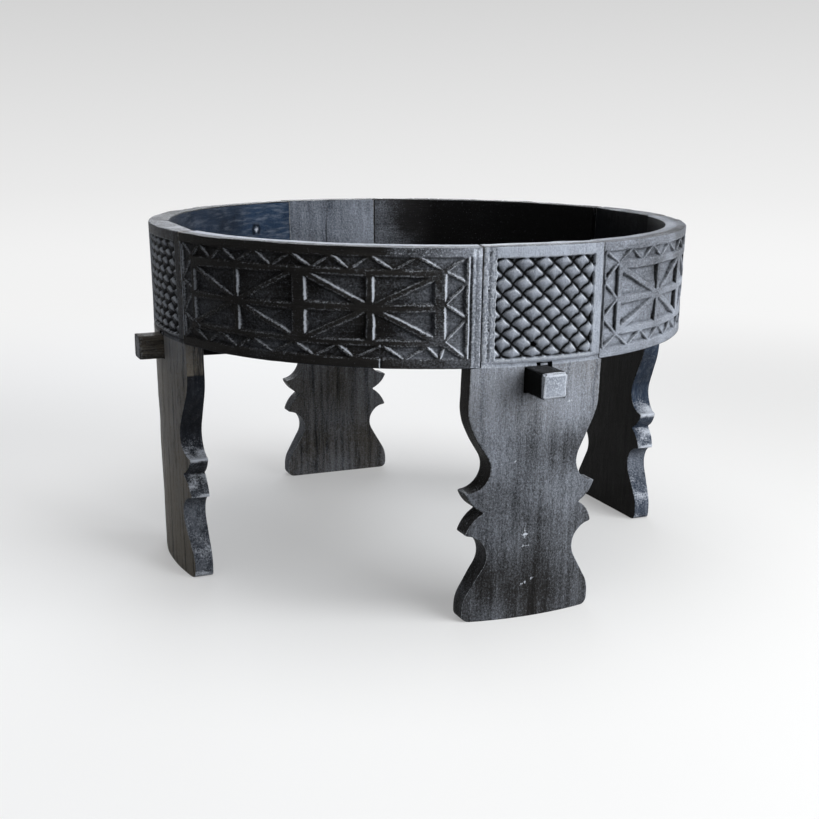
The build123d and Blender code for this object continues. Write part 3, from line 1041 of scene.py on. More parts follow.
@dataclass
class Panel:
    """One curved panel of the ring with its chip-carved frame and two stars.

    It follows a leg, seen counterclockwise from above.  Angles are degrees from that leg, and a
    fade is the angle where a look begins to change and the degrees that it takes.
    """

    name: str
    after: Side
    border: Border
    stars: tuple[Star, ...]
    seed: float
    bloom: float = 0.6
    sheen_and_rub: float = 0.6
    ease: float = 8.0
    inner_tint: float = 0.6
    # Painted highlights on slopes that face the light, and how much dimmer they are at the left
    # end.
    painted_gleam: float = 0.4
    left_painted_gleam: float = 1.0
    # Painted shade in deep cuts, in creases and on walls that face left.
    depth_shade: float = 0.35
    creases: float = 0.8
    lee: float = 0.0
    # Painted shade on the inner wall, up to the angle where it clears.
    inner_shade: float = 0.0
    inner_clear: float = 90.0
    # Bloom of the rim, partly painted sheen.
    rim_bloom_and_sheen: float = 0.42
    scratchy: float = 0.0
    # Painted sheen in the pockets.
    pocket_sheen: float = 0.0
    # Painted sheen on the rim's inner lip.
    lip_sheen: float = 0.0
    scuffed: float = 90.0
    cuts: tuple[tuple[float, float, float, float], ...] = ()
    knot: Point | None = None
    rough_end: float = 90.0
    radius: float = 350.0
    wall: float = 27.0
    low: float = 301.0
    high: float = 436.0
    start: float = 13.95
    end: float = 78.65
    pitch: float = 0.9
    rim_round: float = 2.2
    inner_round: float = 2.0
    foot_round: float = 1.2
    end_round: float = 0.8
    rim_steps: int = 5
    rim_points: int = 9
    lip_steps: int = 4
    wall_points: int = 26
    foot_steps: int = 3
    foot_points: int = 8
    ridge: float = 0.8
    border_depth: float = 4.2
    star_depth: float = 5.2
    star_lean: float = 30.0
    star_tip: float = 0.7
    end_groove: Point = (4.2, 2.8)
    cut_groove: Point = (2.6, 1.8)
    reed: float = 7.0
    knot_radius: float = 4.0
    strip_low: float = 424.0
    painted_gleam_fade: Point = (40.0, 8.0)
    tint_fade: Point = (16.0, 45.0)
    clear_fade: float = 15.0

    @property
    def degree(self) -> float:
        """Millimetres along the ring's outside in a degree."""
        return math.radians(self.radius)

    def section(self) -> tuple[np.ndarray, np.ndarray, int]:
        """Cross-section of the wall: corner points joined by lines and quarter circles.

        Returns:
            Points (radius, height), their inward directions, and how many lie on the carved face.
        """
        outer, inner = self.radius, self.radius - self.wall
        rim, lip, foot = self.rim_round, self.inner_round, self.foot_round
        rows = int((self.high - self.low - rim - foot) / self.pitch)
        z = np.linspace(self.low + foot, self.high - rim, rows)
        runs = [(np.stack([outer + 0 * z, z], 1), np.array([[-1.0, 0.0]] * rows))]

        def corner(x: float, y: float, r: float, first: float, count: int) -> None:
            """Quarter circle, its ends left out.

            Args:
                x, y, r: middle and radius.
                first: angle of its start in degrees.
                count: steps from end to end.
            """
            a = np.radians(first + 90 * np.arange(1, count) / count)
            way = np.stack([np.cos(a), np.sin(a)], 1)
            runs.append((np.array([x, y]) + r * way, -way))

        def line(x: Any, y: Any, way: Point) -> None:
            """Straight run of points with one inward direction."""
            points = np.stack(np.broadcast_arrays(x, y), 1).astype(float)
            runs.append((points, np.array([way] * len(points), float)))

        top, bottom = self.high - lip, self.low + foot
        corner(outer - rim, self.high - rim, rim, 0, self.rim_steps)
        line(np.linspace(outer - rim, inner + lip, self.rim_points), self.high, (0, -1))
        corner(inner + lip, top, lip, 90, self.lip_steps)
        line(inner, np.linspace(top, bottom, self.wall_points), (1, 0))
        corner(inner + foot, bottom, foot, 180, self.foot_steps)
        line(np.linspace(inner + foot, outer - foot, self.foot_points), self.low, (0, 1))
        corner(outer - foot, bottom, foot, 270, self.foot_steps)
        points, ways = (np.concatenate([r[k] for r in runs]) for k in (0, 1))
        return points, ways, rows

    def unroll(self) -> Unrolled:
        """Lays the surface flat.

        Returns:
            The places of its corners before any carving.
        """
        section, inward, face_rows = self.section()
        length = (self.end - self.start) * self.degree
        angles = self.start + spaced(length, self.pitch, (0, 0.7, 1.3)) / self.degree
        steps = np.hypot(*np.diff(section, axis=0, append=section[:1]).T)
        along = angles * self.degree
        across, around = np.meshgrid(along, np.concatenate([[0], np.cumsum(steps)[:-1]]))
        from_end = np.minimum(across - along[0], along[-1] - across)
        rim = mound(np.arange(len(section)), face_rows + self.rim_steps - 1, 5.0)[:, None]
        rim_lines = self.rim_steps + self.rim_points + self.lip_steps - 2
        return Unrolled(
            section, inward, face_rows, angles, across, around, from_end, rim, rim_lines
        )

    def carve(self, across: np.ndarray, up: np.ndarray) -> Carving:
        """Cuts the border, the stars and the end grooves.

        Args:
            across: degrees along the ring, one for each column.
            up: heights, one for each row.

        Returns:
            The carving over rows and columns.
        """
        mm = self.degree
        grid_x, grid_z = np.meshgrid(across * mm, up)
        work = Carving(
            grid_x, grid_z, self.seed, self.ease, self.depth_shade, self.creases, self.lee
        )
        b = self.border
        for rows, level in (
            ((b.top_outer, b.top_inner), b.top), ((b.low_outer, b.low_inner), b.low)
        ):
            self.zigzag(work, *([(a * mm, z) for a in row] for row, z in zip(rows, level)))
        for rows, level in (
            ((b.left_outer, b.left_inner), b.left), ((b.right_outer, b.right_inner), b.right)
        ):
            self.zigzag(work, *([(a * mm, z) for z in row] for row, a in zip(rows, level)))
        for star in self.stars:
            self.star(work, star)
        bottom, top = b.low[0] + 1, b.top[0] - 1
        for angle in (b.left[0] - 0.35, b.right[0] + 0.75):
            work.groove((angle * mm, bottom), (angle * mm, top), *self.end_groove)
        for first, low, second, high in self.cuts:
            work.groove((first * mm, low), (second * mm, high), *self.cut_groove)
        reeds = 0.5 + 0.5 * np.cos((work.x - self.end * mm) * 2 * math.pi / self.reed)
        reeds = 0.8 * reeds ** 2 + 0.9 * np.abs(ripple(work.x * 2, work.z, 3.0, self.seed + 31))
        work.depth += np.where(work.x > self.rough_end * mm, reeds, 0)
        return work

    def zigzag(self, work: Carving, outer: list[Point], inner: list[Point]) -> None:
        """Cuts the pockets on both sides of a zigzag between two rows of points.

        Args:
            work: the carving.
            outer, inner: points of the two rows.
        """
        lands = (self.ridge, self.ridge, 0.0)
        for tips, feet, lean in ((inner, outer, 30), (outer[1:], inner, 34)):
            for tip, a, b in zip(tips, feet, feet[1:]):
                work.chip([tip, a, b], lands, self.border_depth, (32, 32, lean))

    def star(self, work: Carving, star: Star) -> None:
        """Cuts eight pockets round the star's middle.

        Args:
            work: the carving.
            star: where the star's lines run.
        """
        x0, x1, x2 = (a * self.degree for a in (star.start, star.middle, star.end))
        z0, z1, z2 = star.low, star.centre, star.top
        rim = [(x0, z2 - star.tilt), (x1, z2), (x2, z2 + star.tilt), (x2, z1)]
        rim += [(x2, z0), (x1, z0), (x0, z0), (x0, z1)]
        lands = (star.diagonal, star.rib)
        for k in range(8):
            land = (lands[(k - 1) % 2], lands[k % 2], 0.0)
            corners = [(x1, z1), rim[k - 1], rim[k]]
            work.chip(corners, land, self.star_depth, (self.star_lean,) * 3, self.star_tip)

    def from_knot(self, flat: Unrolled) -> np.ndarray:
        """Distance from the knot, far off where there is none."""
        angle, up = self.knot or (0.0, -math.inf)
        return np.hypot(flat.across - angle * self.degree, flat.section[:, 1:] - up)

    def sunk(self, flat: Unrolled, work: Carving) -> np.ndarray:
        """How far each corner lies below the plain wall.

        The carving, rounded ends, low swells of the plane, dents along the rim, and a knot that
        stands proud of the inner wall.

        Args:
            flat: the surface laid flat.
            work: the carving of its outer face.

        Returns:
            Depths in millimetres.
        """
        a, s, seed = flat.across, flat.around, self.seed
        depth = np.zeros(a.shape)
        depth[: flat.face_rows] = work.depth
        depth -= flat.inner_face * 1.6 * mound(self.from_knot(flat), 0, self.knot_radius)
        depth += eased(flat.from_end, self.end_round)
        depth += 0.22 * hills(a, s, 38, seed + 11)
        depth += 0.10 * hills(a, s, 6, seed + 12)
        depth += flat.rim * (0.5 * hills(a, s, 23, seed + 13))
        depth += flat.rim * 1.3 * np.clip(ripple(a, s, 5, seed + 14) - 0.45, 0, 1)
        return depth

    def looks(self, flat: Unrolled, work: Carving) -> dict[str, np.ndarray]:
        """Where each look lies.

        Args:
            flat: the surface laid flat.
            work: the carving of its outer face.

        Returns:
            Share of each look at each corner.
        """
        a, s, part, seed = flat.across, flat.around, flat.part, self.seed
        inner_face, face = flat.inner_face, slice(flat.face_rows)
        up = flat.section[:, 1:]
        angle = a / self.degree
        look = {name: np.zeros(a.shape) for name in LOOKS if name != "brown"}

        # Painted highlights on slopes that face the light, dimmer towards the left end, which faces
        # away from it; the rub on the carved ridges, partly painted highlight, dims with them.
        dim = self.left_painted_gleam + (1 - self.left_painted_gleam) * ramp(flat.angles, *self.painted_gleam_fade)
        from_rims = np.minimum(up[face] - self.low, self.high - up[face])
        middle = np.clip((from_rims - 3) / 14, 0.2, 1)
        look["worn"][face] = work.worn() * self.sheen_and_rub * dim + self.scratchy * middle
        look["worn"] += flat.rim * (0.35 + 0.35 * ripple(a, s, 17, seed + 15))
        look["worn"] += 0.5 * fading(flat.from_end, 2.2) * (0.4 + self.bloom)
        # Painted shade in deep cuts, creases and on walls that face left.
        look["hollow"][face] = work.hollow(1)
        look["shine"][face] = work.shine(1) * self.painted_gleam * dim

        rough = (a > self.rough_end * self.degree) & (part < 0)
        on_rim = ((part >= 2) & (part < flat.rim_lines))[:, 0]
        # Painted sheen: a lighter band on the rim's inner lip, and the rim's bloom, partly painted
        # sheen.
        lip = self.lip_sheen * ramp(ramp(part, 3, 9), 0.45, 0.2)
        look["bloom"] += np.where(part < 2, self.bloom, 0.1)
        look["bloom"][on_rim] = (self.rim_bloom_and_sheen + lip)[on_rim]
        look["bloom"] += 0.12 * ripple(a, s, 60, seed + 16) + 0.3 * rough
        # Painted sheen in the pockets, lighter as they deepen.
        look["bloom"][face] += self.pocket_sheen * np.clip(work.depth / 3, 0, 1)
        look["mark"] += 0.42 * rough

        strip = (up > self.strip_low) & (part < 4)
        scuff = np.where(strip, 0.25 * ramp(angle, self.scuffed, 3), 0)
        look["mark"] += 1.4 * scuff
        look["bloom"] += scuff + np.where(part < 0, 0.14 * ramp(angle - self.scuffed, 8, 6), 0)

        # Painted shade on the inner wall where it faces away from the light, clearing past its
        # angle, where painted light makes the bloom lighter instead.
        clear = ramp(flat.angles, self.inner_clear, self.clear_fade)
        tint = self.inner_tint * inner_face * (1.2 - 0.7 * ramp(flat.angles, *self.tint_fade))
        look["inside"] += tint
        look["hollow"] += self.inner_shade * inner_face * (1 - clear) ** 1.5
        look["bloom"] += 0.22 * inner_face * clear
        away = self.from_knot(flat)
        # Painted highlight: a bright dot on the knot.
        look["shine"] += inner_face * mound(away, 0, 0.9 * self.knot_radius)
        look["hollow"] += inner_face * mound(away, 7.0, 2.4)
        return look

    def build(self, material: bpy.types.Material) -> None:
        """Makes the surface: the section carried round the ring, sunk by the carving and wear.

        Args:
            material: the wood that it is made of.
        """
        flat = self.unroll()
        work = self.carve(flat.angles, flat.section[: flat.face_rows, 1])
        depth = self.sunk(flat, work)
        reach, up = flat.section[:, :1], flat.section[:, 1:]
        radius = reach + flat.inward[:, :1] * depth + flare(up)
        height = up + flat.inward[:, 1:] * depth
        theta = np.radians(self.after.value + flat.angles)
        points = np.stack([radius * np.cos(theta), radius * np.sin(theta), height], -1)
        fibre = np.stack([flat.across, flat.around, radius], -1).reshape(-1, 3)
        rows, columns = depth.shape
        faces = wrapped(rows, columns).tolist()
        for k, edge in enumerate((0, columns - 1)):
            faces += fan(np.arange(rows) * columns + edge, rows * columns + k, k == 0)
        caps = points[:, [0, -1]].mean(0)
        piece = Piece(
            f"{self.name}_carved",
            np.concatenate([points.reshape(-1, 3), caps]),
            faces,
            np.concatenate([fibre, fibre[:2]]),
            {
                name: np.concatenate([look.ravel(), [0, 0]])
                for name, look in self.looks(flat, work).items()
            },
        )
        piece.place(material, "ring_wood", self.name)


# ------------------------------------------------------------------------------ shaped legs
@dataclass
class Block:
    """Skin of a leg's cells: one value for each corner, before any wear.

    x, y and z are its place, left and right the plank's edges at its height, deep its depth below
    the outer face and share that depth over the whole, and inward the way into the wood from the
    plank's edge.  The masks say whether it is on the head, the outer face, the inner face, the
    narrow sides, the rim or the foot.  The field holds the corners of the head's outer face, in
    columns to the right and rows upward.
    """

    quads: np.ndarray
    x: np.ndarray
    y: np.ndarray
    z: np.ndarray
    left: np.ndarray
    right: np.ndarray
    deep: np.ndarray
    share: np.ndarray
    thick: np.ndarray
    inward: np.ndarray
    tip: np.ndarray
    head: np.ndarray
    front: np.ndarray
    rear: np.ndarray
    ends: np.ndarray
    top: np.ndarray
    foot: np.ndarray
    field: np.ndarray

    @property
    def from_side(self) -> np.ndarray:
        """Distance from the nearer edge of the plank."""
        return np.minimum(self.y - self.left, self.right - self.y)


@dataclass
class Leg:
    """A plank leg: shaped below the ring, and above it a head that closes the ring's wall.

    The bar's mortise is as wide as the bar, and its top has a narrower slot for the wedge.
    It is worked out as the leg on +X, then turned.  Seen from outside, across runs to the right.
    A fade is the height where a look begins to change and the millimetres that it takes.
    """

    side: Side
    seed: float
    sway: float = 0.0
    neck_swell: float = 0.0
    reeded: bool = False
    bloom: float = 0.6
    head_bloom: float = 0.55
    # Painted highlights on the head's slopes that face the light.
    head_painted_gleam: float = 0.6
    # Painted shade in the head's deep cuts.
    head_depth_shade: float = 0.6
    side_bloom: Point = (0.2, 0.4)
    # Painted highlights on the narrow sides, low down where they face upward and on the tips.
    side_painted_gleam: float = 0.3
    # Painted bluish sheen on the narrow sides.
    side_blue_sheen: float = 0.0
    inner_bloom: float = 0.2
    # Painted shade on the head's inner face.
    inner_shade: float = 0.0
    rear_bloom: float = 0.15
    rear_brown: float = 0.0
    # Painted sheen on the inner half of the top.
    lip_sheen: float = 0.0
    # Bloom of the top, partly painted sheen.
    rim_bloom_and_sheen: float = 0.42
    brown: float = 0.0
    bare_above: float = 400.0
    nail_hole: Point | None = None
    marks: tuple[tuple[float, float, float, float], ...] = ()
    cracks: tuple[float, ...] = ()
    radius: float = 350.0
    thickness: float = 34.0
    half_width: float = 84.0
    foot_half_width: float = 83.0
    waist_half_width: float = 56.0
    notch_half_width: float = 61.0
    toe_in: float = 6.0
    lean: float = 4.0
    ring_bottom: float = 301.0
    shoulder: float = 300.7
    high: float = 436.0
    head_left: float = 11.3
    head_right: float = 13.9
    neck_slope: float = 27.0
    neck_round: float = 61.0
    upper_round: float = 28.0
    upper_tip: float = 156.0
    notch: float = 132.5
    bulge: float = 3.6
    lower_tip: float = 105.5
    lower_round: float = 26.5
    calf_slope: float = 31.0
    calf_round: float = 40.0
    mortise_half_width: float = 16.3
    mortise: Point = (270.4, 304.0)
    slot_start: float = 3.0
    lattice_side: Point = (-8.7, 11.7)
    lattice_up: Point = (310.7, 422.5)
    lattice_count: int = 5
    long_cut: float = 5.0
    short_cut: float = 4.6
    deepest_cut: float = 5.4
    reed: float = 8.0
    arris: float = 1.5
    head_arris: float = 0.8
    foot_arris: float = 1.2
    inner_arris: float = 2.0
    foot_corner: float = 8.0
    rim_round: float = 2.2
    pitch: float = 0.95
    edge_pitch: float = 2.2
    neck_fade: Point = (215.0, 60.0)
    # Height where the painted shade towards the foot begins to lift, and the millimetres that it
    # takes.
    foot_shade_fade: Point = (30.0, 130.0)
    calf_top: float = 200.0
    edge_lines: tuple[float, ...] = (0, 0.9, 1.5)
    side_lines: int = 58
    side_span: float = 70.0
    mortise_lines: int = 27

    @property
    def degree(self) -> float:
        """Millimetres along the ring's outside in a degree."""
        return math.radians(self.radius)

    def outline(self) -> np.ndarray:
        """Half widths and heights down the plank's edge, from the shoulder to the floor.

        Lines and circle arcs: a rounded neck, a concave curve ending in the upper tip, two swollen
        edges that meet in the notch, the lower tip over its concave curve, and a rounded calf and
        foot.  They are laid out in even steps, and each point is drawn halfway to the mean of its
        neighbours, which wears the tips.

        Returns:
            Rows of (half width, height), top first.
        """

        def arc(x: float, y: float, r: float, start: float, end: float) -> np.ndarray:
            """Points about a millimetre apart on a circle.

            Args:
                x, y, r: middle and radius.
                start, end: degrees from the level.

            Returns:
                The points in order.
            """
            count = max(4, int(abs(math.radians(end - start)) * r / 1.3))
            a = np.radians(np.linspace(start, end, count))
            return np.stack([x + r * np.cos(a), y + r * np.sin(a)], 1)

        def swollen(x0: float, y0: float, x1: float, y1: float) -> np.ndarray:
            """Straight edge pushed out square to itself by a parabola of the bulge's height.

            Args:
                x0, y0, x1, y1: the two ends.

            Returns:
                The points in order.
            """
            t = np.linspace(0, 1, 24)[:, None]
            out = np.array([y0 - y1, x1 - x0]) / math.hypot(x1 - x0, y1 - y0)
            return np.array([[x0, y0]]) * (1 - t) + np.array([[x1, y1]]) * t + (
                4 * self.bulge * t * (1 - t) * out
            )

        w, c, f = self.half_width, self.waist_half_width, self.foot_half_width
        slope, calf = math.radians(self.neck_slope), math.radians(self.calf_slope)
        up, low = self.upper_round, self.lower_round
        neck_end = (c + up - up * math.cos(slope), self.upper_tip + up + up * math.sin(slope))
        neck = neck_end[1] + (w - neck_end[0]) / math.tan(slope)
        bend = self.neck_round * math.tan(slope / 2)
        calf_end = (c + low - low * math.cos(calf), self.lower_tip - low - low * math.sin(calf))
        foot = calf_end[1] - (f - calf_end[0]) / math.tan(calf)
        roll = self.calf_round * math.tan(calf / 2)
        runs = [
            np.array([[w, self.shoulder - 4 * k] for k in range(8)]),
            arc(w - self.neck_round, neck + bend, self.neck_round, 0, -self.neck_slope),
            arc(c + up, self.upper_tip + up, up, 180 - self.neck_slope, 270),
            swollen(c + up, self.upper_tip, self.notch_half_width, self.notch)[1:],
            swollen(self.notch_half_width, self.notch, c + low, self.lower_tip)[1:],
            arc(c + low, self.lower_tip - low, low, 90, 180 + self.calf_slope)[1:],
            arc(f - self.calf_round, foot - roll, self.calf_round, self.calf_slope, 0),
            arc(f - self.foot_corner, self.foot_corner, self.foot_corner, 0, -90),
        ]
        points = np.concatenate(runs)
        steps = np.hypot(*np.diff(points, axis=0).T)
        along = np.concatenate([[0], np.cumsum(steps)])
        even = np.linspace(0, along[-1], int(along[-1] / self.edge_pitch))
        fine = np.stack([np.interp(even, along, points[:, k]) for k in (0, 1)], 1)
        fine[1:-1] = 0.5 * fine[1:-1] + 0.25 * (fine[:-2] + fine[2:])
        fine[np.argmin(np.abs(fine[:, 1] - self.mortise[0])), 1] = self.mortise[0]
        return fine

    def rows(self) -> dict[str, np.ndarray]:
        """Lines of cells from the floor to the rim.

        Returns:
            At each line its height "up", the plank's edges "left" and "right", their "inward"
            direction, whether it is in the "head", and how near it is to a "tip" of the outline.
        """
        edge = self.outline()[::-1]
        run = np.gradient(edge, axis=0)
        run = run / np.hypot(*run.T)[:, None]
        inward = np.stack([-np.abs(run[:, 1]), run[:, 0] * np.sign(run[:, 1])], 1)
        head = spaced(self.high - self.shoulder, self.pitch, (0, 1.0, 2.1, 3.2))
        head = np.concatenate([[1.2], head[4:]])
        heights = np.concatenate([edge[:, 1], self.shoulder + head])
        below = len(edge)
        wave, other = (0.55 * ripple(heights, 0 * heights, 31, self.seed + n) for n in (0, 1))
        swell = self.neck_swell * mound(heights, 222, 26)
        risen = heights / self.ring_bottom
        shift = self.lean * heights / self.ring_bottom + self.sway * (1 - risen)
        mean = np.convolve(np.pad(edge[:, 0], 3, "edge"), np.ones(7) / 7, "valid")
        tip = np.clip((edge[:, 0] - mean) / 2.0, 0, 1)
        left = np.concatenate([edge[:, 0] + (wave + swell)[:below], 0 * head])
        right = np.concatenate([edge[:, 0] + other[:below], 0 * head])
        return {
            "up": heights,
            "left": -left + shift,
            "right": right + shift,
            "inward": np.concatenate([inward, np.array([[-1.0, 0.0]] * len(head))]),
            "head": np.arange(len(heights)) >= below,
            "tip": np.concatenate([tip, 0 * head]),
        }

    def block(self) -> Block:
        """Fills a block of cells but for the bar's mortise, and bends its skin to the leg.

        Across, close lines at each edge and then even shares of the way lead to the mortise.

        Returns:
            The skin's corners.
        """
        rows = self.rows()
        up = rows["up"]
        start, half = np.array(self.edge_lines), self.mortise_half_width
        arris, count = start[-1], len(start) + self.side_lines - 1
        through = spaced(self.thickness, 6.0, self.edge_lines)
        steps = self.side_span * np.arange(1, self.side_lines) / self.side_lines
        side = np.concatenate([start, arris + steps])
        middle = np.linspace(-1, 1, self.mortise_lines)[1:-1] * half
        across = count * 2 + len(middle)
        low, high = (int(np.argmin(np.abs(up - h))) for h in self.mortise)
        slot = int(np.argmin(np.abs(middle + self.slot_start)))
        shelf = int(np.argmin(np.abs(up - self.shoulder)))
        solid = np.ones((len(through) - 1, across - 1, len(up) - 1), bool)
        solid[:, count - 1 : across - count, low:high] = False
        solid[:, count - 1 : count + slot, shelf:high] = True
        place, quads = skin(solid)
        i, j, k = place.T
        z, head, share = up[k].astype(float), rows["head"][k], through[i] / self.thickness
        centre = np.where(z < self.ring_bottom, self.toe_in * (z / self.ring_bottom - 1), 0)
        back = self.radius - self.thickness - self.toe_in + self.toe_in * z / self.ring_bottom
        width = self.radius - share * (self.radius - back)
        left, right = (
            np.where(head, width * math.sin(math.radians(angle)), rows[key][k])
            for key, angle in (("left", -self.head_left), ("right", self.head_right))
        )
        near = np.clip(np.stack([j, across - 1 - j]), 0, count - 1)
        step = np.minimum(side[near], arris)
        part = np.clip((side[near] - arris) / self.side_span, 0, 1)
        y = np.where(
            j < count,
            left + step[0] + part[0] * (-half - left - arris),
            right - step[1] - part[1] * (right - half - arris),
        )
        between = (j >= count) & (j < across - count)
        y = np.where(between, middle[np.clip(j - count, 0, len(middle) - 1)], y)
        outer = centre + np.sqrt(self.radius ** 2 - y ** 2)
        x = outer - share * (outer - back) + flare(z) * head
        front, rear, ends = i == 0, i == len(through) - 1, (j == 0) | (j == across - 1)
        carved = front & head
        grid = np.zeros((across, len(up)), int) - 1
        grid[j[carved], k[carved]] = np.flatnonzero(carved)
        return Block(
            quads, x, y, z, left, right, through[i], share,
            np.minimum(through[i], self.thickness - through[i]), rows["inward"][k],
            rows["tip"][k], head, front, rear, ends, k == len(up) - 1, k == 0,
            grid[:, rows["head"]],
        )

    def head_relief(self, across: np.ndarray, up: np.ndarray) -> Carving:
        """Lattice of slanting cuts in a sunk field, and the strips beside it.

        The long cuts fall to the right from ridge to ridge: a steep wall that faces up and right,
        and a rounded rise to the next ridge.  The short cuts cross them in bows: a gentle slope
        that faces right, and a steep end.  Each diamond between them is left like a pillow.

        Args:
            across: places along the ring's outside in millimetres.
            up: heights.

        Returns:
            The carving.
        """
        work = Carving(across, up, self.seed + 20, depth_shade=self.head_depth_shade)
        left, right = (a * self.degree for a in self.lattice_side)
        low, top = self.lattice_up
        wide, tall = (right - left) / self.lattice_count, (top - low) / self.lattice_count
        u, v = (work.x - left) / wide, (work.z - low) / tall
        u = u + 0.035 * ripple(work.x, work.z, 27, self.seed + 21)
        v = v + 0.035 * ripple(work.x, work.z, 25, self.seed + 22)
        row = (u + v - 0.30) % 1
        place = (u - v - 0.42 + 0.12 * np.sin(math.pi * row)) % 1
        rise = (np.clip(1 - row, 0, 0.8) / 0.8) ** 2.4
        long_cut = self.long_cut * np.where(row < 0.2, row / 0.2, rise)
        end = (1 - place) / 0.18
        short_cut = self.short_cut * np.where(place < 0.82, (place / 0.82) ** 2.6, end)
        cut = 0.3 + np.maximum(long_cut, short_cut) + 0.2 * np.minimum(long_cut, short_cut)
        cut = cut + 0.3 * ripple(work.x, work.z, 5, self.seed + 23)
        field = np.minimum(
            np.minimum(work.x - left, right - work.x), np.minimum(work.z - low, top - work.z)
        )
        work.depth = np.clip(cut, 0.2, self.deepest_cut) * np.clip(field / 1.6 + 0.5, 0, 1)
        shade = 1.6 * mound(top - work.z, 1.2, 1.6) * (field > -1)
        side = 1.2 * mound(right - work.x, 1.2, 1.5) * (field > -1)
        work.depth = np.maximum(work.depth, np.maximum(shade, side))
        below = work.z - low
        lip = mound(below, -2.2, 1.3) * (work.x > left)
        work.depth = work.depth + 0.9 * mound(below, -5.0, 1.4) - 0.3 * lip
        if self.reeded:
            beside = (work.x < left - 1.5) & (work.z > low - 4)
            waves = 0.5 + 0.5 * np.cos((work.x - left) * 2 * math.pi / self.reed)
            reeds = 1.1 * waves ** 2
            reeds += 1.2 * np.abs(ripple(work.x * 1.6, work.z, 3.4, self.seed + 24))
            work.depth = np.where(beside, np.maximum(work.depth, reeds), work.depth)
        work.depth += 5.0 * np.clip(2.2 - self.from_nail_hole(across, up) / 1.6, 0, 1)
        return work

    def from_nail_hole(self, along: np.ndarray, up: np.ndarray) -> np.ndarray:
        """Distance from the nail hole, far off where there is none."""
        angle, height = self.nail_hole or (0.0, -math.inf)
        return np.hypot(along - angle * self.degree, up - height)

    def shape(self, b: Block, work: Carving) -> tuple[np.ndarray, np.ndarray, np.ndarray]:
        """Corners after the carving, dents and rounded arrises.

        Args:
            b: the skin of the leg's cells.
            work: the carving of its head.

        Returns:
            x, y and z.
        """
        x, y, z, seed = b.x, b.y, b.z, self.seed
        sunk = np.zeros(len(z))
        sunk[b.field] = work.depth
        from_side, from_top = b.from_side, self.high - z
        dents = 0.25 * hills(y, z, 34, seed + 3)
        dents += 0.12 * hills(y, z / 3, 6, seed + 4)
        wear = 1 + 0.6 * ripple(y + 3 * z, x, 19, seed + 5)
        edge = np.where(b.head, self.head_arris, self.arris)
        x = x - b.front * (
            sunk + dents + wear * eased(from_side, edge) + eased(from_top, self.rim_round)
        )
        x = x + b.rear * (
            dents + eased(from_side, self.arris) + eased(from_top, self.inner_arris)
        )
        pull = b.ends * (wear * eased(b.thick, self.arris) + 0.15 * hills(x, z, 11, seed + 6))
        y = y - np.sign(y - 0.5 * (b.left + b.right)) * pull * -b.inward[:, 0]
        z = z + pull * b.inward[:, 1]
        rim = eased(b.deep, self.rim_round) + eased(self.thickness - b.deep, self.inner_arris)
        rim += eased(from_side, self.head_arris) + 0.35 * hills(x, y, 17, seed + 7)
        foot = eased(b.thick, self.foot_arris) + eased(from_side, self.foot_arris)
        return x, y, z - b.top * rim + b.foot * foot

    def crack(self, b: Block, y: np.ndarray, z: np.ndarray) -> np.ndarray:
        """How far each corner is in a crack of the head's inner face.

        Args:
            b: the skin of the leg's cells.
            y, z: corners after carving and wear.

        Returns:
            Values from 0 to 1.
        """
        share = np.zeros(len(z))
        for place in self.cracks:
            share += fading(np.abs(y - place - 1.5 * ripple(z, 0 * z, 30, 7)), 1.4)
        return b.rear * b.head * share

    def scratched(self, y: np.ndarray, z: np.ndarray) -> np.ndarray:
        """How strongly each place is scratched by the marks, lines from (y, z) to (y, z).

        Args:
            y, z: corners after carving and wear.

        Returns:
            Values from 0 up.
        """
        share = np.zeros(len(z))
        for y0, z0, y1, z1 in self.marks:
            run = np.array([y1 - y0, z1 - z0])
            t = np.clip(((y - y0) * run[0] + (z - z0) * run[1]) / (run @ run), 0, 1)
            away = np.hypot(y - y0 - t * run[0], z - z0 - t * run[1])
            share += 0.78 * np.clip(2.0 - away / 0.9, 0, 1)
        return share

    def looks(
        self, b: Block, work: Carving, x: np.ndarray, y: np.ndarray, z: np.ndarray
    ) -> dict[str, np.ndarray]:
        """Where each look lies.

        Args:
            b: the skin of the leg's cells.
            work: the carving of its head.
            x, y, z: corners after carving and wear.

        Returns:
            Share of each look at each corner.
        """
        seed, field, head = self.seed, b.field, b.head
        along = self.radius * np.arcsin(np.clip(b.y / self.radius, -1, 1))
        front_head, rear_head, bare = b.front & head, b.rear & head, b.z > self.bare_above
        neck = ramp(b.z, *self.neck_fade)
        left, right = (a * self.degree for a in self.lattice_side)

        # Painted shade: the outer face grows darker towards the foot, and a little lighter at the
        # neck.
        face = self.bloom * (0.6 + 0.4 * ramp(b.z, *self.foot_shade_fade)) + 0.08 * neck
        side = np.where(b.y < 0, *self.side_bloom) + 0.12 * np.clip((150 - b.z) / 60, -1, 1)
        bloom = np.where(b.front, face, self.rear_bloom)
        bloom = np.where(front_head, self.head_bloom, bloom)
        bloom = np.where(rear_head, self.inner_bloom, bloom)
        bloom = np.where(b.ends, side + 0.14 * bare, bloom)
        bloom += 0.10 * ripple(b.y, b.z, 50, seed + 9)
        bloom[field] -= 0.1 * (along[field] > right)

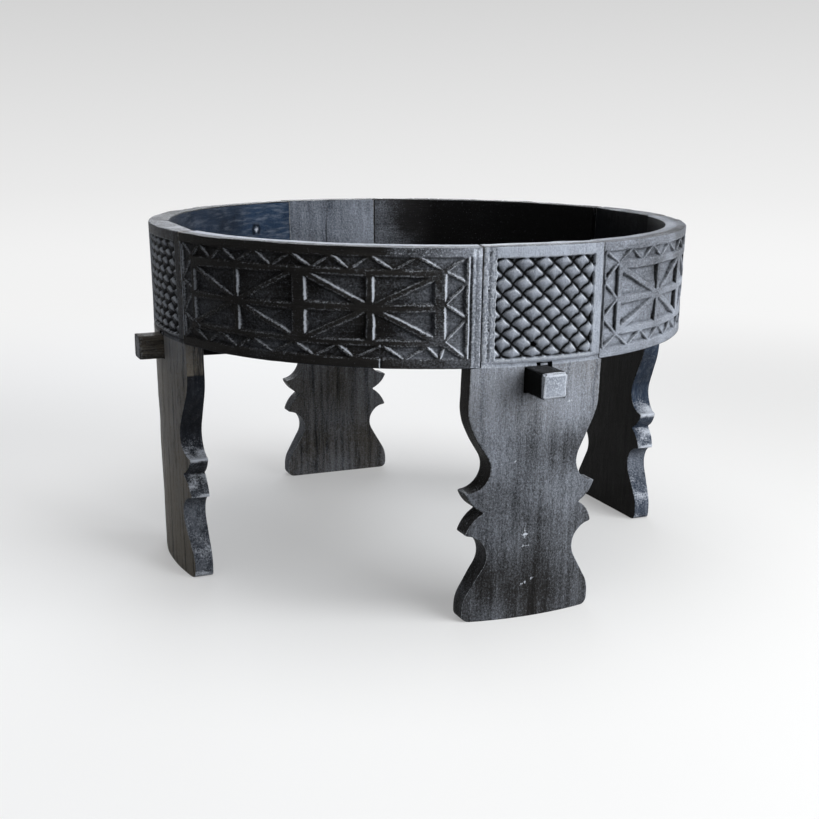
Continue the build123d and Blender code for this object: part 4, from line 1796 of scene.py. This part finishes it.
        near_edge = np.where(b.ends, b.thick, b.from_side)
        worn = 0.8 * fading(near_edge, 2.4) * (b.front | b.rear | b.ends)
        worn[field] = np.maximum(worn[field], 0.8 * work.worn())
        mark = np.zeros(len(z))
        if self.reeded:
            seam = along[field] < left - 1.5
            worn[field] += 0.35 * seam
            mark[field] += 0.48 * seam
        worn = np.maximum(worn, 0.8 * fading(self.high - b.z, 3) * b.front)
        worn = np.maximum(worn, b.top * (0.35 + 0.35 * ripple(x, y, 13, seed + 8)))
        mark += b.front * self.scratched(y, z)

        # Painted shade in the head's cuts, in the nail hole and on the head's inner face; the
        # cracks are real dark lines.
        hollow, shine = np.zeros(len(z)), np.zeros(len(z))
        hollow[field] = work.hollow(0)
        hollow += front_head * np.clip(3.0 - self.from_nail_hole(along, b.z) / 1.2, 0, 1.2)
        hollow += self.inner_shade * rear_head
        hollow += self.crack(b, y, z)
        # Painted highlights on the head's slopes that face the light, and in patches on the narrow
        # sides where they face upward low down and on their tips.
        shine[field] = work.shine(0) * self.head_painted_gleam
        lobe = np.clip(-b.inward[:, 1] - 0.1, 0, 1) * (b.z < self.calf_top) + 2 * b.tip
        patches = 0.5 + 0.5 * ripple(b.z, b.x, 7, seed + 11)
        shine += b.ends * self.side_painted_gleam * lobe * patches
        stripped = np.where(b.front & ~head, self.brown + 0.3 * neck, 0)
        return {
            # On the top, the bloom is partly painted sheen, lighter on its inner half.
            "bloom": np.where(b.top, self.rim_bloom_and_sheen + self.lip_sheen * (b.share > 0.5), bloom),
            "worn": worn,
            "hollow": hollow,
            "shine": shine,
            # Blue tint on the head's inner face, and a painted bluish sheen on the narrow sides.
            "inside": 0.5 * rear_head + self.side_blue_sheen * b.ends,
            "brown": stripped + self.rear_brown * (b.rear & ~head) + b.ends * bare,
            "mark": mark,
        }

    def build(self, material: bpy.types.Material) -> None:
        """Makes the surface: the skin of a block of cells, bent to the leg, carved and worn.

        Args:
            material: the wood that it is made of.
        """
        b = self.block()
        along = self.radius * np.arcsin(np.clip(b.y / self.radius, -1, 1))
        work = self.head_relief(along[b.field], b.z[b.field])
        x, y, z = self.shape(b, work)
        looks = self.looks(b, work, x, y, z)
        x = x + 1.2 * self.crack(b, y, z)
        points = turned(np.stack([x, y, z], 1), self.side.value)
        name = f"{self.side.word}_leg"
        piece = Piece(f"{name}_carved", points, b.quads.tolist(), np.stack([z, y, x], 1), looks)
        piece.place(material, "leg_wood", name)


# ----------------------------------------------------------------------- bars and floor boards
@dataclass
class Bar:
    """A square bar through two legs, halved where the bars cross."""

    name: str
    side: Side
    reach: float
    halved_above: bool
    seed: float
    width: float = 32.0
    low: float = 270.7
    high: float = 300.7
    lap: float = 16.3
    arris: float = 5.4
    edge_lines: tuple[float, ...] = (0, 0.8, 1.6, 2.5, 3.4, 4.4, 5.4)
    pitch: float = 5.0
    end_pitch: float = 1.5
    brown_end: bool = False

    def build(self, material: bpy.types.Material) -> None:
        """Makes the bar along +X from its skin of cells, then turns it.

        Args:
            material: the wood that it is made of.
        """
        half, middle = self.width / 2, (self.low + self.high) / 2
        along = spaced(2 * self.reach, self.pitch, self.edge_lines) - self.reach
        along = np.unique(np.concatenate([along, [-self.lap, self.lap]]))
        across = spaced(self.width, self.end_pitch, self.edge_lines) - half
        up = self.low + spaced(self.high - self.low, self.end_pitch, self.edge_lines)
        up = np.unique(np.concatenate([up, [middle]]))
        solid = cells(along, across, up)
        lap = (along[:-1] > -self.lap - 0.1) & (along[1:] < self.lap + 0.1)
        cut = up[:-1] > middle - 0.1 if self.halved_above else up[1:] < middle + 0.1
        solid[np.ix_(lap, np.ones(len(across) - 1, bool), cut)] = False
        x, y, z, quads = laid(solid, along, across, up)
        from_end, from_side = self.reach - np.abs(x), half - np.abs(y)
        from_face = np.minimum(z - self.low, self.high - z)
        faces = (from_end, from_side, from_face)
        at_end, at_side, at_face = (distance < FLUSH for distance in faces)
        edge = np.sort(np.stack(faces), axis=0)[1]
        wear = 1 + 0.7 * ripple(x, y + z, 9, self.seed)
        dent = 0.2 * hills(x, y + 2 * z, 14, self.seed + 1)
        end, side, face = (eased(distance, self.arris) * wear for distance in faces)
        x = x - np.sign(x) * at_end * (side + face + dent)
        y = y - np.sign(y) * at_side * (end + face + dent)
        z = z - np.sign(z - middle) * at_face * (end + side + dent)
        bare = self.brown_end & (x < 0) & (from_end < 60)
        split = fading(np.abs(y - 3 - 0.1 * (z - middle)), 1.5) * at_end * bare
        x = x + 2.5 * split
        # Painted highlight on the end face, just inside its rounded arrises.
        tip = mound(edge, 2.6, 1.6) * (from_end < 5)
        flat = np.where(at_side, 0.25 * bare, 0.3)
        looks = {
            "worn": 0.9 * fading(edge, 2.6) * np.where(bare, 0.5, 1),
            # Painted shade on both sides, but for the bare end, and real dark in the end's split.
            "hollow": np.maximum(0.9 * (at_side & ~bare), split),
            "shine": 1.1 * tip * np.where(bare, 0.3, 1),
            "bloom": np.where(at_end, np.where(bare, 0.55, 0.8), flat),
            "brown": 0.5 * bare,
            "mark": 0.45 * at_end,
        }
        fibre = np.stack([x, y, z], 1)
        points = turned(fibre, self.side.value)
        piece = Piece(f"{self.name}_hewn", points, quads.tolist(), fibre, looks)
        piece.place(material, "bar_wood", self.name)


@dataclass
class Wedge:
    """A thin wedge over a bar's end, driven into the slot of its leg from outside."""

    side: Side
    seed: float
    outer: float = 348.8
    inner: float = 316.4
    low: float = 300.7
    thick_end: float = 3.0
    thin_end: float = 1.5
    across: float = 7.5
    width: float = 9.0
    arris: float = 0.5
    edge_lines: tuple[float, ...] = (0, 0.3, 0.6)

    def build(self, material: bpy.types.Material) -> None:
        """Makes the wedge on +X: its height falls evenly from the outer to the inner end.

        Args:
            material: the wood that it is made of.
        """
        length = self.outer - self.inner
        along, side = spaced(length, 2.0, self.edge_lines), spaced(self.width, 1.2, self.edge_lines)
        share = np.linspace(0, 1, 5)
        x, y, t, quads = laid(cells(along, side, share), along, side, share)
        thick = self.thin_end + (self.thick_end - self.thin_end) * x / length
        top, outer_end = t > 0.99, x > length - FLUSH
        from_side, from_end = np.minimum(y, self.width - y), np.minimum(x, length - x)
        rounds = eased(from_side, self.arris) + eased(from_end, self.arris)
        z = self.low + t * thick - top * rounds
        z = z - top * 0.1 * hills(x, y, 4, self.seed)
        points = np.stack([x + self.inner, y + self.across - self.width / 2, z], 1)
        looks = {"worn": 0.5 * outer_end, "bloom": np.where(outer_end, 0.55, 0.25)}
        name = f"{self.side.word}_bar_wedge"
        place = turned(points, self.side.value)
        piece = Piece(f"{name}_cut", place, quads.tolist(), points, looks)
        piece.place(material, "wedge_wood", name)


@dataclass
class BasinFloor:
    """Five boards cut to the inside of the ring, with slightly worn arrises."""

    count: int = 5
    radius: float = 322.0
    half_square: float = 315.0
    gap: float = 0.6
    low: float = 301.0
    thickness: float = 18.0
    arris: float = 1.4
    edge_lines: tuple[float, ...] = (0, 0.7, 1.4)
    end_lines: tuple[float, ...] = (0, 0.0025, 0.005)
    pitch: float = 5.0
    end_pitch: float = 0.025
    seed: float = 41.0

    def board(self, number: int, material: bpy.types.Material) -> None:
        """Makes a board: its ends follow the circle, cut off by a square.

        Args:
            number: the board's number from 0, counted from the front.
            material: the wood that it is made of.
        """
        pitch = 2 * self.half_square / self.count
        centre = (number - (self.count - 1) / 2) * pitch
        half = (pitch - self.gap) / 2
        across = centre - half + spaced(2 * half, self.pitch, self.edge_lines)
        along = spaced(2.0, self.end_pitch, self.end_lines) - 1
        up = self.low + spaced(self.thickness, self.pitch, self.edge_lines)
        share, y, z, quads = laid(cells(along, across, up), along, across, up)
        x = share * np.minimum(np.sqrt(self.radius ** 2 - y ** 2), self.half_square)
        from_side = half - np.abs(y - centre)
        from_face = np.minimum(z - self.low, self.low + self.thickness - z)
        at_side, at_face = from_side < FLUSH, from_face < FLUSH
        seed = self.seed + number
        cup = 0.18 * hills(x, y, 60, seed) + 0.08 * hills(x / 4, y, 7, seed + 0.5)
        y = y - np.sign(y - centre) * at_side * (eased(from_face, self.arris) + 0.1)
        z = z - np.sign(z - self.low - self.thickness / 2) * at_face * (
            eased(from_side, self.arris) + cup
        )
        looks = {
            "worn": 0.7 * fading(np.maximum(from_side, from_face), 2.5),
            "bloom": 0.25 + 0.1 * ripple(x, y, 70, seed + 0.7),
            "inside": np.full(len(x), 0.3),
        }
        points = np.stack([x, y, z], 1)
        name = f"floor_board_{number + 1}"
        piece = Piece(f"{name}_planed", points, quads.tolist(), points, looks)
        piece.place(material, "floor_wood", name)

    def build(self, material: bpy.types.Material) -> None:
        """Makes the boards from front to back."""
        for number in range(self.count):
            self.board(number, material)


@dataclass
class RimPin:
    """Round head of an old pin in the ring's outer face."""

    name: str
    azimuth: float
    height: float
    face: float = 349.3
    head_radius: float = 2.6
    rise: float = 1.5
    shank_radius: float = 0.9
    shank: float = 9.0
    round_lines: int = 20
    dome_lines: int = 8

    def build(self, finish: Finish) -> None:
        """Makes the pin: a dome of revolution, x = face + rise cos t, r = radius sin t, and shank.

        Args:
            finish: the metal that it is made of.
        """
        t = np.linspace(0, math.pi / 2, self.dome_lines)[1:]
        inner_end = self.face - self.shank
        reach = np.concatenate([self.face + self.rise * np.cos(t), [self.face, inner_end]])
        radius = np.concatenate([self.head_radius * np.sin(t), [self.shank_radius] * 2])
        turn = np.linspace(0, 2 * math.pi, self.round_lines, endpoint=False)[:, None]
        rings = np.stack([reach + 0 * turn, radius * np.cos(turn), radius * np.sin(turn)], -1)
        ends = [[self.face + self.rise, 0, 0], [inner_end, 0, 0]]
        points = np.concatenate([rings.reshape(-1, 3), ends]) + [0, 0, self.height]
        count, line = len(reach), np.arange(self.round_lines) * len(reach)
        faces = wrapped(self.round_lines, count).tolist()
        for k, edge in enumerate((0, count - 1)):
            faces += fan(line + edge, self.round_lines * count + k, k == 0)
        piece = Piece(self.name, turned(points, self.azimuth), faces, points, {})
        piece.place(finish.material(), "nail_iron")


# ---------------------------------------------------------------------------- the table's pieces
def ring_panels() -> list[Panel]:
    """The four panels, the front left one with its teeth where the carver put them.

    Returns:
        The panels, front left, front right, back right and back left.
    """
    front_left = Border(
        (14.6, 20.8, 27.5, 35.5, 43.4, 51.2, 58.5, 66.8, 75.8),
        (18.1, 24.3, 31.3, 39.2, 47.5, 54.7, 62.7, 71.6),
        (14.6, 22.8, 31.1, 39.4, 47.8, 55.5, 64.7, 71.0, 75.8),
        (18.1, 26.6, 34.7, 43.8, 52.3, 60.6, 68.7, 71.8),
        (425.0, 381.0, 341.0, 311.8),
        (410.5, 370.0, 330.0),
        (425.0, 396.0, 357.0, 311.8),
        (409.5, 373.0, 331.0),
    )
    stars = (
        Star(18.9, 31.1, 43.7, tilt=3.0, rib=2.6, diagonal=2.0),
        Star(46.15, 58.5, 70.2, 403.5, 368.5, tilt=-1.0, rib=3.8, diagonal=2.7),
    )
    corner = ((17.9, 352.0, 17.9, 338.0), (17.9, 338.0, 20.4, 328.5), (20.4, 328.5, 26.0, 326.0))
    split = (60.5, 301.0, 60.6, 327.0)
    even = (Star(19.2, 32.2, 44.0), Star(46.5, 58.8, 70.7))
    return [
        Panel(
            "front_left_panel", Side.LEFT, front_left, stars, 3, bloom=0.17, sheen_and_rub=0.4, ease=9.0,
            painted_gleam=1.35, left_painted_gleam=0.75, depth_shade=0.0, creases=0.3, scratchy=0.22,
            pocket_sheen=0.17, lip_sheen=0.5, scuffed=60.0, cuts=(*corner, split), rough_end=76.9,
        ),
        Panel(
            "front_right_panel", Side.FRONT, Border.even(5), even, 5, bloom=0.56, sheen_and_rub=0.6,
            painted_gleam=0.15, depth_shade=0.0, creases=0.4, lee=0.9, lip_sheen=0.2, inner_shade=0.9,
        ),
        Panel(
            "back_right_panel", Side.RIGHT, Border.even(8), stars, 8, inner_tint=0.1,
            inner_shade=0.95, inner_clear=62.0, rim_bloom_and_sheen=0.12,
        ),
        Panel(
            "back_left_panel", Side.BACK, Border.even(13), even, 13, inner_tint=1.0,
            rim_bloom_and_sheen=0.2, knot=(25.0, 396.5),
        ),
    ]


def table_legs() -> list[Leg]:
    """The four legs, each a little different, as hand-sawn ones are.

    Returns:
        The legs: front, right, back and left.
    """
    marks = (
        (-12.0, 102.0, -5.0, 102.6), (-12.0, 89.0, -4.0, 88.6), (-9.0, 110.0, -8.5, 98.0),
        (-12.0, 41.0, -5.0, 43.5), (0.0, 46.0, 4.0, 48.5), (41.0, 257.5, 48.0, 256.2),
        (-24.5, 192.0, -23.8, 192.2),
    )
    return [
        Leg(
            Side.FRONT, 51, neck_swell=2.6, reeded=True, bloom=0.47, head_bloom=0.78,
            head_painted_gleam=1.25, lip_sheen=0.5, nail_hole=(-0.9, 324.8), marks=marks,
        ),
        Leg(
            Side.RIGHT, 57, bloom=0.45, side_bloom=(0.26, 0.4), side_painted_gleam=1.1, side_blue_sheen=0.75,
            inner_bloom=0.05, inner_shade=0.9, rear_bloom=0.05,
        ),
        Leg(
            Side.BACK, 61, sway=3.0, bloom=0.5, inner_bloom=0.5, rear_bloom=0.34, rear_brown=0.22,
            rim_bloom_and_sheen=0.15, brown=0.4, cracks=(17.0,),
        ),
        Leg(
            Side.LEFT, 67, bloom=0.4, head_bloom=0.4, head_painted_gleam=2.4, head_depth_shade=1.0,
            side_bloom=(0.2, 0.26), side_painted_gleam=1.0, side_blue_sheen=0.25, brown=1.15, bare_above=262.0,
        ),
    ]


def main() -> None:
    """Builds the studio and the pieces in order, and dresses the floor nails."""
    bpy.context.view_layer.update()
    Studio().build()
    carved = WaxedWood("ring_wood").material()
    for panel in ring_panels():
        panel.build(carved)
    plank = WaxedWood("leg_wood", patchy=0.36, streaky=0.42).material()
    for leg in table_legs():
        leg.build(plank)
    hewn = WaxedWood("bar_wood").material()
    Bar("long_crossbar", Side.BACK, 391.0, True, 31).build(hewn)
    Bar("short_crossbar", Side.RIGHT, 380.0, False, 33, brown_end=True).build(hewn)
    BasinFloor().build(WaxedWood("floor_wood", patchy=0.4, streaky=0.4).material())
    for number, side in enumerate(Side):
        Wedge(side, 71.0 + number).build(hewn)
    RimPin("rim_pin", 241.2, 430.5).build(ForgedIron("pin_iron", paint(170, 172, 176)))
    dress("floor_nails", ForgedIron("nail_iron"))


if __name__ == "__main__":
    logging.basicConfig(level=logging.INFO, format="%(message)s", stream=sys.stdout)
    main()
